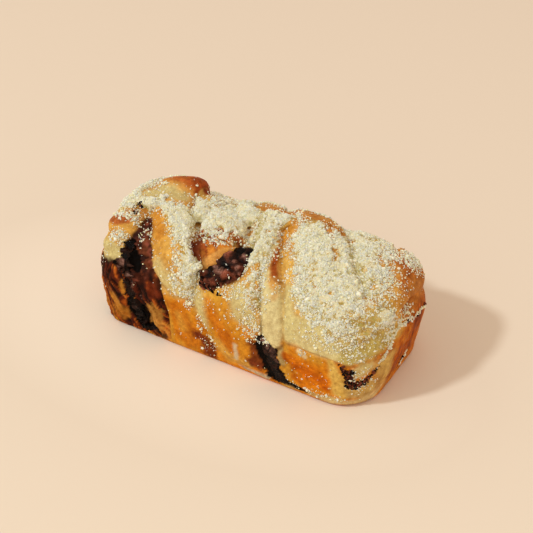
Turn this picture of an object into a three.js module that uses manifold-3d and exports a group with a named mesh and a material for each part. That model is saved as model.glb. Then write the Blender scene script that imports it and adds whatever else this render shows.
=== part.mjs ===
// A babka: a twisted sweet loaf baked in a tin, with a chocolate filling that shows where the
// strands part, and a crumb topping. Millimetres, +Z up, length along X, the parted side to -Y.
import * as THREE from 'three';
import { mergeVertices } from 'three/addons/utils/BufferGeometryUtils.js';
import Module from 'manifold-3d';

const wasm = await Module();
wasm.setup();

// Main sizes of the loaf
const LENGTH = 218;
const WIDTH = 104;
const RIM_HEIGHT = 38;
const DOME_HEIGHT = 45;
const DOME_POWER = 2.4;
// How the dome closes at its left and right end
const DOME_END_LENGTH = { left: 26, right: 34 };
const DOME_END_DROP = { left: 0.35, right: 0.6 };
const DOME_CORNER = { left: 23, right: 31 };

// The body that the tin shaped, under the strands
const WALL_INSET = 0.6;
const WALL_FLARE = 2.6;
const BASE_ROUNDING = 4.5;
const LEFT_CORNER = 21;
const RIGHT_CORNER = 31;
const RIGHT_TUCK = 4;
const CORE_BELOW_CROWN = 7.5;
const CORE_EDGE_HEIGHT = 40;
const CORE_TOP_HALF_WIDTH = 8;
const CORE_SHOULDER = 0.8;
const CORE_LEAST_CORNER = 3;

// Clearances and shares
const GAP = 0.3;
const STRAND_UNDERSIDE = 5;
const END_CLEARANCE = 0.4;
const SEED = 20;
// Steps for directions, in millimetres or degrees on the loaf and as a share across the ribbon
const LOAF_STEP = 0.2;
const RIBBON_STEP = 0.02;
// Smallest divisor, and the distance within which vertices count as one
const TINY = 1e-6;
const MERGE_WITHIN = 1e-4;
// The front strands lean out further than the back ones, so the whole moves back to stand centred.
const MOVE_BACK = 1.55;

// The section and the closing ends of what names none of its own
const PLAIN_SECTION = { power: 2.3, ends: [0.15, 0.15] };

// The strands that show. A knot holds the angle over the loaf (degrees, 0 at the front rim, 90 at
// the crown, 180 at the back rim), the place along the length, half the span along the length,
// half the span in degrees, and the height above the loaf's smooth form.
const STRANDS = {
  leftEnd: {
    knots: [[24, -98, 10, 0, -2], [42, -96, 13, 0, -0.5], [60, -95, 14, 0, 0.5], [76, -94, 15, 0, 0.3],
      [95, -94, 15, 0, -0.5], [140, -91, 16, 0, -2], [188, -87, 19, 0, -1]],
    drop: 13, power: 2.8, ends: [0.08, 0.1],
  },
  goldenTurn: {
    knots: [[9, -37, 14, 0, 1.6], [25, -40, 18, 0, 2.2], [45, -44, 20, 0, 2.4], [65, -56, 20, 0, 2.5],
      [88, -69, 19, 0, 2], [120, -82, 18, 0, 0], [155, -87, 16, 0, 0], [188, -89, 13, 0, -1]],
    drop: 14, power: 2.5, ends: [0.04, 0.12],
  },
  knob: {
    knots: [[62, -20, 13, 0, 0.5], [75, -24, 17, 0, 3], [90, -28, 18, 0, -1.5], [110, -38, 18, 0, -6.5],
      [150, -48, 18, 0, -4], [188, -53, 16, 0, -1]],
    drop: 14, power: 2.4, ends: [0.12, 0.12],
  },
  middleTurn: {
    knots: [[-38, 12, 16, 0, 0.6], [-15, 9, 19, 0, 0.9], [5, 6, 22, 0, 1.2], [22, 6, 22, 0, 1.2],
      [42, 13, 13, 0, 0], [65, 10, 9, 0, 0.5], [90, 4, 13, 0, 2], [110, -3, 16, 0, 4.5],
      [140, -15, 18, 0, 2], [170, -22, 18, 0, 0], [190, -24, 16, 0, -1]],
    drop: 12, power: 2.6, ends: [0.05, 0.1],
  },
  paleFold: {
    knots: [[-5, 36, 8, 0, -0.3], [15, 34, 9, 0, -0.6], [31, 31, 9, 0, -1], [56, 22.5, 8, 0, -1.5],
      [78, 15, 7, 0, -1.5], [100, 9, 6, 0, -1]],
    drop: 9, power: 2.3, ends: [0.1, 0.12],
  },
  broadTurn: {
    knots: [[3, 75, 33, 0, 1.5], [20, 74, 35, 0, 1.6], [40, 70, 35, 0, 2], [60, 62, 34, 0, 3],
      [80, 50, 29, 0, 4.5], [100, 37, 26, 0, 7.5], [115, 28, 23, 0, 9.5], [140, 12, 21, 0, 3],
      [188, 2, 18, 0, -1]],
    drop: 15, power: 2.6, ends: [0.04, 0.12],
  },
  rightTurn: {
    knots: [[40, 97, 10, 0, 0], [60, 95, 13, 0, 1], [78, 89, 18, 0, 2.5], [95, 81, 22, 0, 4],
      [115, 71, 24, 0, 4.5], [140, 59, 25, 0, 2.5], [170, 47, 24, 0, 0], [190, 41, 20, 0, -1]],
    drop: 14, power: 2.5, ends: [0.12, 0.12],
  },
  rightEnd: {
    knots: [[4, 98, 11, 0, 0.3], [40, 99, 10, 0, 1], [70, 98, 11, 0, 2.5], [95, 96, 13, 0, 4],
      [130, 91, 18, 0, 3.5], [165, 86, 20, 0, 0], [188, 83, 20, 0, -0.5]],
    drop: 12, power: 2.8, ends: [0.06, 0.1],
  },
  tornRidgeFirst: {
    knots: [[20, -95, 4, 0, 0.5], [4, -91, 5, 0, 1], [-14, -86, 5, 0, 0.8], [-34, -81, 4, 0, 0.2]],
    drop: 6, power: 2, ends: [0.2, 0.2],
  },
  tornRidgeSecond: {
    knots: [[12, -67, 4, 0, 0.4], [0, -61, 5, 0, 1], [-16, -56, 5, 0, 0.8], [-35, -52, 5, 0, 0.2]],
    drop: 6, power: 2, ends: [0.2, 0.2],
  },
  leftPaleEdge: {
    knots: [[33, -105, 0, 8, 0], [36, -97, 0, 9, 1], [42, -88, 0, 8, 0]],
    drop: 5, power: 2.2, ends: [0.25, 0.25],
  },
  leftBrownEdge: {
    knots: [[50, -106, 0, 7, 1], [54, -98, 0, 8, 2.5], [59, -89, 0, 7, 1.5]],
    drop: 5, power: 2.2, ends: [0.25, 0.25],
  },
  brownKnuckle: {
    knots: [[99, -93, 0, 9, 1], [105, -83, 0, 13, 5], [111, -70, 0, 14, 7], [115, -57, 0, 12, 6]],
    drop: 11, power: 2.2, ends: [0.2, 0.2],
  },
  smallKnuckle: {
    knots: [[111, -59, 0, 7, -0.6], [109, -49, 0, 7, 0.4], [107, -39, 0, 6, -0.8]],
    drop: 6, power: 2.2, ends: [0.3, 0.3],
  },
};

// The filling: a ribbon that turns along the loaf between the strands. A knot holds the place along
// the length and the angle of one edge; the other edge lies opposite.
const RIBBON_KNOTS = [[-98, 272], [-84, 220], [-76, 180], [-65, 149], [-34, 94], [-8, 45], [28, 2],
  [41, -33], [78, -108], [88, -172], [96, -204], [104, -212]];
const RIBBON_HALF = 1.7;
const RIBBON_BURIED = 9;
const RIBBON_REACH = 1.05;
// Where an edge comes to the surface: which edge, from and to along the length, extra half thickness.
const EXPOSED = [
  { edge: -1, from: -87, to: -63, extra: 3.6 },
  { edge: 1, from: 28, to: 45, extra: 3.4 },
  { edge: -1, from: 89, to: 101, extra: 2.6 },
];
const EXPOSED_FADE = 7;

// The opening between the knob and the middle turn, the dough flap over it and the filling in it.
// Each is a rounded lump: place along the length, angle, height, half spans and a turn in degrees.
const POCKET = { x: -13, t: 53, depth: 2, half: [21, 17, 10], turn: 25 };
const POCKET_FLAP = { x: -23, t: 59, depth: -6, half: [15, 13, 6], turn: 20 };
const POCKET_FILLING = { x: -8, t: 51, depth: -6.5, half: [23, 11, 6], turn: 50 };

// The crumb topping: beds on the strands and in the furrows between them, as knots like a strand's.
const CRUMB_BEDS = [
  { knots: [[58, -94, 11, 0, 1.8], [80, -95, 13, 0, 2.4], [110, -94, 13, 0, 0.4],
    [140, -92, 13, 0, -1]], drop: 8, area: 2 },
  { knots: [[16, -33, 7, 0, 3], [30, -33, 9, 0, 3.6], [45, -36, 10, 0, 3.6], [55, -43, 11, 0, 4],
    [65, -52, 14, 0, 4.4], [76, -61, 17, 0, 4.2], [92, -65, 14, 0, 3]], drop: 8, area: 3 },
  { knots: [[62, -23, 11, 0, 2.6], [71, -24, 15, 0, 4.8], [80, -26, 16, 0, 4.4], [92, -29, 16, 0, 1.6],
    [112, -39, 17, 0, -3.8], [140, -47, 16, 0, -2.6]], drop: 8, area: 2 },
  { knots: [[20, 17, 8, 0, 2.4], [32, 15, 10, 0, 2.2], [45, 12, 9, 0, 1.8], [65, 9, 7, 0, 2.4],
    [90, 4, 11, 0, 4.2], [112, -3, 14, 0, 6.4], [140, -14, 15, 0, 4]], drop: 8, area: 2 },
  { knots: [[22, 88, 10, 0, 2], [32, 82, 20, 0, 2.8], [44, 74, 29, 0, 3.6], [60, 65, 29, 0, 4.8],
    [80, 52, 26, 0, 6.8], [100, 40, 24, 0, 9.8], [114, 32, 20, 0, 11], [140, 14, 17, 0, 5]],
    drop: 9, area: 6 },
  { knots: [[60, 94, 9, 0, 2.6], [78, 85, 14, 0, 4], [95, 76, 18, 0, 5.2], [115, 66, 20, 0, 5.6],
    [140, 55, 20, 0, 4]], drop: 8, area: 3 },
  { knots: [[24, 97, 8, 0, 2.4], [45, 98, 9, 0, 3], [66, 97, 9, 0, 4]], drop: 6, area: 1 },
  { knots: [[72, -80, 9, 0, 1.8], [82, -82, 12, 0, 2.8], [92, -84, 13, 0, 2.8]], drop: 6, area: 1 },
  { knots: [[80, -48, 10, 0, 0.6], [94, -53, 11, 0, 0.8], [108, -58, 11, 0, -0.8]], drop: 6, area: 1 },
  { knots: [[96, -11, 11, 0, 2], [110, -17, 13, 0, 2.6], [124, -24, 12, 0, 2.4]], drop: 6, area: 1 },
  { knots: [[96, 19, 12, 0, 6.6], [110, 13, 13, 0, 7.4], [124, 6, 13, 0, 6.6]], drop: 6, area: 1 },
  { knots: [[98, 61, 11, 0, 3.4], [112, 52, 13, 0, 3.8], [126, 41, 13, 0, 3]], drop: 6, area: 1 },
];
// Bumps on a bed: height, and two waves as turns for each millimetre along and for the half width across
const BED_ROUGHNESS = 0.55;
const BED_WAVES = [[1.7, 5], [0.61, -9]];
const CLUMPS = 54;
const CLUMP_RADIUS = [1.5, 3.1];
const CLUMP_ALONG = [0.08, 0.92];
const CLUMP_ACROSS = 0.75;
const CLUMP_SUNK = 0.2;
// Loose crumbs on the bare front, clear of the gap where the filling comes out
const LOOSE_CRUMBS = 22;
const LOOSE_RADIUS = [1.1, 1.7];
const LOOSE_ALONG = [-40, 98];
const LOOSE_ANGLE = [-22, 12];
const LOOSE_SUNK = 0.1;
const LOOSE_FREE = { from: 22, to: 60, below: 6 };

// How finely the curved forms are split
const STRAND_SPLIT = [16, 10];
const BED_SPLIT = [10, 8];
const LUMP_SPLIT = [12, 8];
const RIBBON_SPLIT = [32, 5];
// A unit box's vertices beyond this lie on its outer faces.
const BOX_FACE = 0.499;
const CORNER_STEPS = 5;
const LONG_STEPS = 10;
const SHORT_STEPS = 5;
const BASE_TURNS = [0, 30, 60, 90];
const WALL_SHARES = [0.33, 0.67, 1];
const DOME_TURNS = [18, 34, 48, 60, 72, 83];
const HEIGHT_SAMPLES = 60;
const HEIGHT_NEAR = 2;

// Repeatable random draws
const DRAW_FACTOR = 1664525;
const DRAW_STEP = 1013904223;
const DRAW_RANGE = 2 ** 32;

const DEGREE = Math.PI / 180;
const FULL_TURN = 2 * Math.PI;
const clamp = THREE.MathUtils.clamp;
const mix = THREE.MathUtils.lerp;

function seededRandom(seed) {
  let state = seed;
  return () => {
    state = (state * DRAW_FACTOR + DRAW_STEP) % DRAW_RANGE;
    return state / DRAW_RANGE;
  };
}

// A smooth run through rows of numbers, at a share of its length.
function alongKnots(knots, share) {
  const last = knots.length - 1;
  const place = clamp(share, 0, 1) * last;
  const i = Math.min(Math.floor(place), last - 1);
  const w = place - i;
  const from = knots[i];
  const to = knots[i + 1];
  return from.map((value, k) => {
    const before = i > 0 ? knots[i - 1][k] : 2 * value - to[k];
    const after = i < last - 1 ? knots[i + 2][k] : 2 * to[k] - value;
    const bend = 2 * before - 5 * value + 4 * to[k] - after;
    const twist = 3 * value - before - 3 * to[k] + after;
    return 0.5 * (2 * value + (to[k] - before) * w + bend * w * w + twist * w * w * w);
  });
}

// The loaf's smooth form
const sideOf = (x) => (x < 0 ? 'left' : 'right');

function halfWidthAt(x) {
  const corner = DOME_CORNER[sideOf(x)];
  const fromEnd = Math.max(LENGTH / 2 - Math.abs(x), 0);
  const k = Math.max(1 - fromEnd / corner, 0);
  return WIDTH / 2 - corner + corner * Math.sqrt(1 - k * k);
}

function domeHeightAt(x) {
  const length = DOME_END_LENGTH[sideOf(x)];
  const k = clamp((Math.abs(x) - LENGTH / 2 + length) / length, 0, 1);
  return DOME_HEIGHT * Math.sqrt(1 - DOME_END_DROP[sideOf(x)] * k * k);
}

function smoothPoint(x, degrees) {
  const c = Math.cos(degrees * DEGREE);
  const s = Math.sin(degrees * DEGREE);
  const half = halfWidthAt(x);
  if (s < 0) {
    const reach = Math.min(1 / Math.max(Math.abs(c), TINY), RIM_HEIGHT / (DOME_HEIGHT * -s));
    return new THREE.Vector3(x, -half * reach * c, RIM_HEIGHT + DOME_HEIGHT * reach * s);
  }
  const reach = (Math.abs(c) ** DOME_POWER + s ** DOME_POWER) ** (-1 / DOME_POWER);
  return new THREE.Vector3(x, -half * reach * c, RIM_HEIGHT + domeHeightAt(x) * reach * s);
}

// Local directions on the smooth form: along the length, over the loaf, and outward.
function smoothFrame(x, degrees) {
  const limit = LENGTH / 2 - END_CLEARANCE;
  const centre = smoothPoint(x, degrees);
  const along = smoothPoint(Math.min(x + LOAF_STEP, limit), degrees);
  along.sub(smoothPoint(Math.max(x - LOAF_STEP, -limit), degrees)).normalize();
  const over = smoothPoint(x, degrees + LOAF_STEP);
  over.sub(smoothPoint(x, degrees - LOAF_STEP)).normalize();
  const out = new THREE.Vector3().crossVectors(over, along).normalize().negate();
  return { centre, along, over, out };
}

function raisedPoint(x, degrees, height) {
  const limit = LENGTH / 2 - END_CLEARANCE;
  const frame = smoothFrame(clamp(x, -limit, limit), degrees);
  return frame.centre.addScaledVector(frame.out, height);
}

// A closed geometry as a solid for joining and cutting
function solidFrom(geometry) {
  const bare = new THREE.BufferGeometry();
  bare.setAttribute('position', geometry.getAttribute('position'));
  bare.setIndex(geometry.index);
  const merged = mergeVertices(bare, MERGE_WITHIN);
  const triVerts = new Uint32Array(merged.index.array);
  const vertProperties = merged.getAttribute('position').array;
  const solid = new wasm.Manifold(new wasm.Mesh({ numProp: 3, vertProperties, triVerts }));
  if (solid.volume() >= 0) return solid;
  const turned = triVerts.slice().reverse();
  return new wasm.Manifold(new wasm.Mesh({ numProp: 3, vertProperties, triVerts: turned }));
}

function moveVertices(geometry, place) {
  const position = geometry.getAttribute('position');
  const vertex = new THREE.Vector3();
  for (let i = 0; i < position.count; i++) {
    const moved = place(vertex.fromBufferAttribute(position, i), i);
    position.setXYZ(i, moved.x, moved.y, moved.z);
  }
  return geometry;
}

const rounded = (value, power) => Math.sign(value) * Math.abs(value) ** (2 / power);

// How full a strand is at a share of its length: it closes in an arc at each end.
function fullness(share, ends) {
  const first = clamp(1 - share / ends[0], 0, 1);
  const last = clamp(1 - (1 - share) / ends[1], 0, 1);
  return Math.sqrt(1 - first * first) * Math.sqrt(1 - last * last);
}

// A strand or a crumb bed: a sphere drawn out along its knots and laid over the loaf.
function strandSolid(strand, split, grow, rough = null) {
  const { knots, drop, power, ends } = { ...PLAIN_SECTION, ...strand };
  const sphere = new THREE.SphereGeometry(1, split[1], split[0]);
  return solidFrom(moveVertices(sphere, (v) => {
    const share = Math.acos(clamp(v.y, -1, 1)) / Math.PI;
    const [degrees, x, halfX, halfDegrees, lift] = alongKnots(knots, share);
    const full = fullness(share, ends);
    const turn = Math.atan2(v.z, v.x);
    const across = rounded(Math.cos(turn), power) * full;
    const up = rounded(Math.sin(turn), power) * full;
    const growX = halfX > 0 ? grow : 0;
    const uneven = rough ? rough(x, across) * Math.max(up, 0) : 0;
    const height = lift + grow - drop + (up > 0 ? drop : STRAND_UNDERSIDE) * up + uneven;
    return raisedPoint(x + (halfX + growX) * across, degrees + halfDegrees * across, height);
  }));
}

// A rounded lump set on the smooth form and turned about its outward direction.
function lumpSolid({ x, t, depth, half, turn }, grow) {
  const frame = smoothFrame(x, t);
  const c = Math.cos(turn * DEGREE);
  const s = Math.sin(turn * DEGREE);
  const sphere = new THREE.SphereGeometry(1, LUMP_SPLIT[0], LUMP_SPLIT[1]);
  return solidFrom(moveVertices(sphere, (v) => {
    const a = v.x * (half[0] + grow);
    const b = v.z * (half[1] + grow);
    const height = depth + v.y * (half[2] + grow);
    return frame.centre.clone()
      .addScaledVector(frame.along, a * c - b * s)
      .addScaledVector(frame.over, a * s + b * c)
      .addScaledVector(frame.out, height);
  }));
}

// The tin-shaped core: rounded-rectangle rings from the base up the wall and over a low dome.
function planRing(inset, z) {
  const tuck = RIGHT_TUCK * clamp(1 - z / RIM_HEIGHT, 0, 1);
  const halfWidth = WIDTH / 2 - inset;
  const corners = [[1, 1, 0], [-1, 1, 90], [-1, -1, 180], [1, -1, 270]];
  const arcs = corners.map(([sideX, sideY, start]) => {
    const halfLength = LENGTH / 2 - inset - (sideX > 0 ? tuck : 0);
    const full = sideX < 0 ? LEFT_CORNER : RIGHT_CORNER;
    const radius = Math.min(Math.max(full - inset / 2, CORE_LEAST_CORNER), halfLength, halfWidth);
    return Array.from({ length: CORNER_STEPS + 1 }, (_, k) => {
      const angle = (start + 90 * k / CORNER_STEPS) * DEGREE;
      const px = sideX * (halfLength - radius) + radius * Math.cos(angle);
      const py = sideY * (halfWidth - radius) + radius * Math.sin(angle);
      return new THREE.Vector3(px, py, z);
    });
  });
  return arcs.flatMap((arc, i) => {
    const steps = i % 2 === 0 ? LONG_STEPS : SHORT_STEPS;
    const next = arcs[(i + 1) % 4][0];
    const last = arc[arc.length - 1];
    const run = Array.from({ length: steps - 1 }, (_, k) => last.clone().lerp(next, (k + 1) / steps));
    return [...arc, ...run];
  });
}

function coreSolid(grow) {
  const inset = WALL_INSET - grow;
  const crown = RIM_HEIGHT + DOME_HEIGHT - CORE_BELOW_CROWN + grow;
  const rings = [];
  for (const turn of BASE_TURNS) {
    const out = BASE_ROUNDING * (1 - Math.sin(turn * DEGREE));
    rings.push([inset + WALL_FLARE + out, BASE_ROUNDING * (1 - Math.cos(turn * DEGREE))]);
  }
  for (const share of WALL_SHARES) {
    const z = mix(BASE_ROUNDING, CORE_EDGE_HEIGHT, share);
    rings.push([inset + WALL_FLARE * (1 - share), z]);
  }
  for (const turn of DOME_TURNS) {
    const closing = 1 - Math.cos(turn * DEGREE) ** CORE_SHOULDER;
    const inward = (WIDTH / 2 - CORE_TOP_HALF_WIDTH) * closing;
    rings.push([inset + inward, mix(CORE_EDGE_HEIGHT, crown, Math.sin(turn * DEGREE))]);
  }
  const points = rings.map(([ringInset, z]) => planRing(ringInset, z));
  const around = points[0].length;
  const profile = [new THREE.Vector2(0, 0)];
  rings.forEach((_, i) => profile.push(new THREE.Vector2(1, i + 1)));
  profile.push(new THREE.Vector2(0, rings.length + 1));
  const lathe = new THREE.LatheGeometry(profile, around);
  return solidFrom(moveVertices(lathe, (_, i) => {
    const row = i % profile.length;
    if (row === 0) return new THREE.Vector3(0, 0, 0);
    if (row === profile.length - 1) return new THREE.Vector3(0, 0, crown);
    return points[row - 1][Math.floor(i / profile.length) % around];
  }));
}

function doughBody(grow) {
  let body = coreSolid(grow);
  for (const strand of Object.values(STRANDS)) body = body.add(strandSolid(strand, STRAND_SPLIT, grow));
  body = body.subtract(lumpSolid(POCKET, -grow));
  return body.add(lumpSolid(POCKET_FLAP, grow));
}

// How far the ribbon is exposed at a place along the length, for one of its edges.
function exposure(edge, x) {
  let most = { share: 0, extra: 0 };
  for (const place of EXPOSED) {
    if (place.edge !== edge) continue;
    const share = Math.min(
      THREE.MathUtils.smoothstep(x, place.from - EXPOSED_FADE, place.from),
      1 - THREE.MathUtils.smoothstep(x, place.to, place.to + EXPOSED_FADE),
    );
    if (share > most.share) most = { share, extra: place.extra };
  }
  return most;
}

function ribbonAngle(x) {
  for (let i = 0; i < RIBBON_KNOTS.length - 1; i++) {
    const [from, to] = [RIBBON_KNOTS[i], RIBBON_KNOTS[i + 1]];
    if (x > to[0]) continue;
    const share = clamp((x - from[0]) / (to[0] - from[0]), 0, 1);
    return mix(from[1], to[1], share);
  }
  return RIBBON_KNOTS[RIBBON_KNOTS.length - 1][1];
}

// A point of the ribbon's middle surface: share runs from one edge (-1) over the axis to the other (1).
function ribbonPoint(x, share) {
  const edge = share < 0 ? -1 : 1;
  const degrees = ribbonAngle(x) + (edge < 0 ? 180 : 0);
  const axis = new THREE.Vector3(x, 0, RIM_HEIGHT);
  const turned = ((degrees % 360) + 360) % 360;
  const outer = smoothPoint(x, turned > 270 ? turned - 360 : turned);
  const radius = outer.distanceTo(axis);
  const buried = (radius - RIBBON_BURIED) / radius;
  const reach = mix(buried, RIBBON_REACH, exposure(edge, x).share);
  return axis.lerp(outer, reach * Math.abs(share));
}

function ribbonSolid(grow) {
  const first = RIBBON_KNOTS[0][0];
  const last = RIBBON_KNOTS[RIBBON_KNOTS.length - 1][0];
  const box = new THREE.BoxGeometry(1, 1, 1, RIBBON_SPLIT[0], RIBBON_SPLIT[1], 1);
  return solidFrom(moveVertices(box, (v) => {
    const x = mix(first, last, v.x + 0.5);
    const share = v.y * 2;
    const along = ribbonPoint(x + RIBBON_STEP, share).sub(ribbonPoint(x - RIBBON_STEP, share));
    const out = ribbonPoint(x, share + RIBBON_STEP);
    out.sub(ribbonPoint(x, share - RIBBON_STEP)).normalize();
    const normal = new THREE.Vector3().crossVectors(along, out).normalize();
    const shown = exposure(share < 0 ? -1 : 1, x);
    const half = RIBBON_HALF + grow + shown.extra * shown.share * Math.abs(share) ** 3;
    const point = ribbonPoint(x, share).addScaledVector(normal, half * Math.sign(v.z));
    const atEdge = Math.abs(v.y) > BOX_FACE;
    const atEnd = Math.abs(v.x) > BOX_FACE;
    if (atEdge) point.addScaledVector(out, grow * Math.sign(v.y));
    if (atEnd) point.x += grow * Math.sign(v.x);
    return point;
  }));
}

// Height of the crust over the smooth form, from the strand that stands highest there.
function crustHeight(x, degrees, strands) {
  let best = -WALL_INSET;
  for (const strand of strands) {
    const { knots, drop, power, ends } = { ...PLAIN_SECTION, ...strand };
    for (let k = 0; k <= HEIGHT_SAMPLES; k++) {
      const share = k / HEIGHT_SAMPLES;
      const [angle, middle, halfX, , lift] = alongKnots(knots, share);
      if (Math.abs(angle - degrees) > HEIGHT_NEAR || halfX === 0) continue;
      const full = fullness(share, ends);
      const off = Math.abs(x - middle) / Math.max(halfX * full, TINY);
      if (off >= 1) continue;
      const bulge = (1 - off ** power) ** (1 / power);
      best = Math.max(best, lift - drop + drop * full * bulge);
    }
  }
  return best;
}

// A small crumb: a few-sided pebble at a point.
function crumbSolid(centre, radius, random) {
  const pebble = new THREE.IcosahedronGeometry(radius, 0);
  const turn = new THREE.Euler(random() * FULL_TURN, random() * FULL_TURN, random() * FULL_TURN);
  pebble.applyMatrix4(new THREE.Matrix4().makeRotationFromEuler(turn));
  pebble.translate(centre.x, centre.y, centre.z);
  return solidFrom(pebble);
}

function largestBody(solid) {
  return solid.decompose().reduce((a, b) => (a.volume() > b.volume() ? a : b));
}

// Loose crumbs on the bare crust of the front, fused to the dough.
function addLooseCrumbs(body, random) {
  const strands = Object.values(STRANDS);
  for (let i = 0; i < LOOSE_CRUMBS; i++) {
    const x = mix(LOOSE_ALONG[0], LOOSE_ALONG[1], (i + random()) / LOOSE_CRUMBS);
    const degrees = mix(LOOSE_ANGLE[0], LOOSE_ANGLE[1], random());
    const radius = mix(LOOSE_RADIUS[0], LOOSE_RADIUS[1], random());
    const atGap = x > LOOSE_FREE.from && x < LOOSE_FREE.to && degrees < LOOSE_FREE.below;
    if (atGap) continue;
    const height = crustHeight(x, degrees, strands) - radius * LOOSE_SUNK;
    const centre = raisedPoint(x, degrees, height);
    body = body.add(crumbSolid(centre, radius, random));
  }
  return body;
}

function crumbTopping(random) {
  const wave = ([alongTurn, acrossTurn], x, across) => Math.sin(x * alongTurn + across * acrossTurn);
  const bumps = (x, across) =>
    BED_ROUGHNESS * BED_WAVES.reduce((sum, turns) => sum + wave(turns, x, across), 0);
  let topping = null;
  for (const bed of CRUMB_BEDS) {
    const solid = strandSolid(bed, BED_SPLIT, 0, bumps);
    topping = topping ? topping.add(solid) : solid;
  }
  const total = CRUMB_BEDS.reduce((sum, bed) => sum + bed.area, 0);
  for (const bed of CRUMB_BEDS) {
    const count = Math.round(CLUMPS * bed.area / total);
    for (let i = 0; i < count; i++) {
      const share = mix(CLUMP_ALONG[0], CLUMP_ALONG[1], (i + random()) / count);
      const across = mix(-CLUMP_ACROSS, CLUMP_ACROSS, random());
      const [degrees, x, halfX, , lift] = alongKnots(bed.knots, share);
      const full = fullness(share, PLAIN_SECTION.ends);
      const height = lift - bed.drop + bed.drop * full * Math.sqrt(1 - across * across);
      const radius = mix(CLUMP_RADIUS[0], CLUMP_RADIUS[1], random() ** 2);
      const centre = raisedPoint(x + halfX * full * across, degrees, height - radius * CLUMP_SUNK);
      topping = topping.add(crumbSolid(centre, radius, random));
    }
  }
  return topping;
}

// Put together
const random = seededRandom(SEED);
const bareDough = doughBody(0);
const fillingRoom = ribbonSolid(GAP).add(lumpSolid(POCKET_FILLING, GAP));
const dough = largestBody(addLooseCrumbs(bareDough, random).subtract(fillingRoom));
const fillingWhole = ribbonSolid(0).intersect(bareDough).add(lumpSolid(POCKET_FILLING, 0));
const filling = largestBody(fillingWhole.subtract(dough));
const keepClear = doughBody(GAP).add(fillingRoom).add(dough);
const streusel = largestBody(crumbTopping(random).subtract(keepClear));

function meshFrom(name, solid, material) {
  const { vertProperties, triVerts } = solid.getMesh();
  const geometry = new THREE.BufferGeometry();
  geometry.setAttribute('position', new THREE.BufferAttribute(new Float32Array(vertProperties), 3));
  geometry.setIndex(new THREE.BufferAttribute(new Uint32Array(triVerts), 1));
  geometry.translate(0, MOVE_BACK, 0);
  geometry.computeVertexNormals();
  const mesh = new THREE.Mesh(geometry, material);
  mesh.name = name;
  return mesh;
}

const crust = new THREE.MeshStandardMaterial({ color: 0xc98b45, roughness: 0.6, metalness: 0 });
const chocolate = new THREE.MeshStandardMaterial({ color: 0x2a1410, roughness: 0.45, metalness: 0 });
const crumb = new THREE.MeshStandardMaterial({ color: 0xeadfb4, roughness: 0.9, metalness: 0 });

const babka = new THREE.Group();
babka.name = 'babka';
babka.add(meshFrom('dough', dough, crust));
babka.add(meshFrom('filling', filling, chocolate));
babka.add(meshFrom('streusel', streusel, crumb));

export default babka;
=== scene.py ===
"""A babka: a tin-baked twisted loaf with chocolate filling between its strands and a crumb topping.

The shapes are worked out in millimetres in the same frame as the solids, and scaled to metres
when a mesh is made.
"""

import math

import bmesh
import bpy
import numpy as np
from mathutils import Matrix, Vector
from mathutils.bvhtree import BVHTree


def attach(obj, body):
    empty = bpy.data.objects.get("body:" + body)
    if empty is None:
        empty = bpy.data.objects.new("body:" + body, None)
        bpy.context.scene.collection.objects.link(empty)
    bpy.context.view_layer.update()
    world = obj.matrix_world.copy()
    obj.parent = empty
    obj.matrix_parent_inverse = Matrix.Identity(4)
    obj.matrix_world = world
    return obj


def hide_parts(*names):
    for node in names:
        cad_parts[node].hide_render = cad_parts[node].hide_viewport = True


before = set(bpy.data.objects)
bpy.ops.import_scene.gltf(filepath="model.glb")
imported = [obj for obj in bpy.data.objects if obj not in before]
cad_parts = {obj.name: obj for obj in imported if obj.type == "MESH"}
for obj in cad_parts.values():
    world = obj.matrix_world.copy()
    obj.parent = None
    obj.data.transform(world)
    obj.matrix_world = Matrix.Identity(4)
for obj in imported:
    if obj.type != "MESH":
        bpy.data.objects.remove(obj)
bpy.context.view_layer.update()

MM = 0.001

# Main sizes of the loaf
LENGTH = 218
WIDTH = 104
RIM_HEIGHT = 38
DOME_HEIGHT = 45
DOME_POWER = 2.4
DOME_END_LENGTH = (26, 34)
DOME_END_DROP = (0.35, 0.6)
DOME_CORNER = (23, 31)
WALL_INSET = 0.6
WALL_FLARE = 2.6
BASE_ROUNDING = 4.5
CORE_CORNER = (21, 31)
RIGHT_TUCK = 4
CORE_BELOW_CROWN = 7.5
CORE_EDGE_HEIGHT = 40
STRAND_UNDERSIDE = 5
END_CLEARANCE = 0.4
MOVE_BACK = 1.55

# Cell sizes of the fused skins
ROUGH_VOXEL = 1.3
VOXEL = 1.1
BED_VOXEL = 1.0

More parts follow.
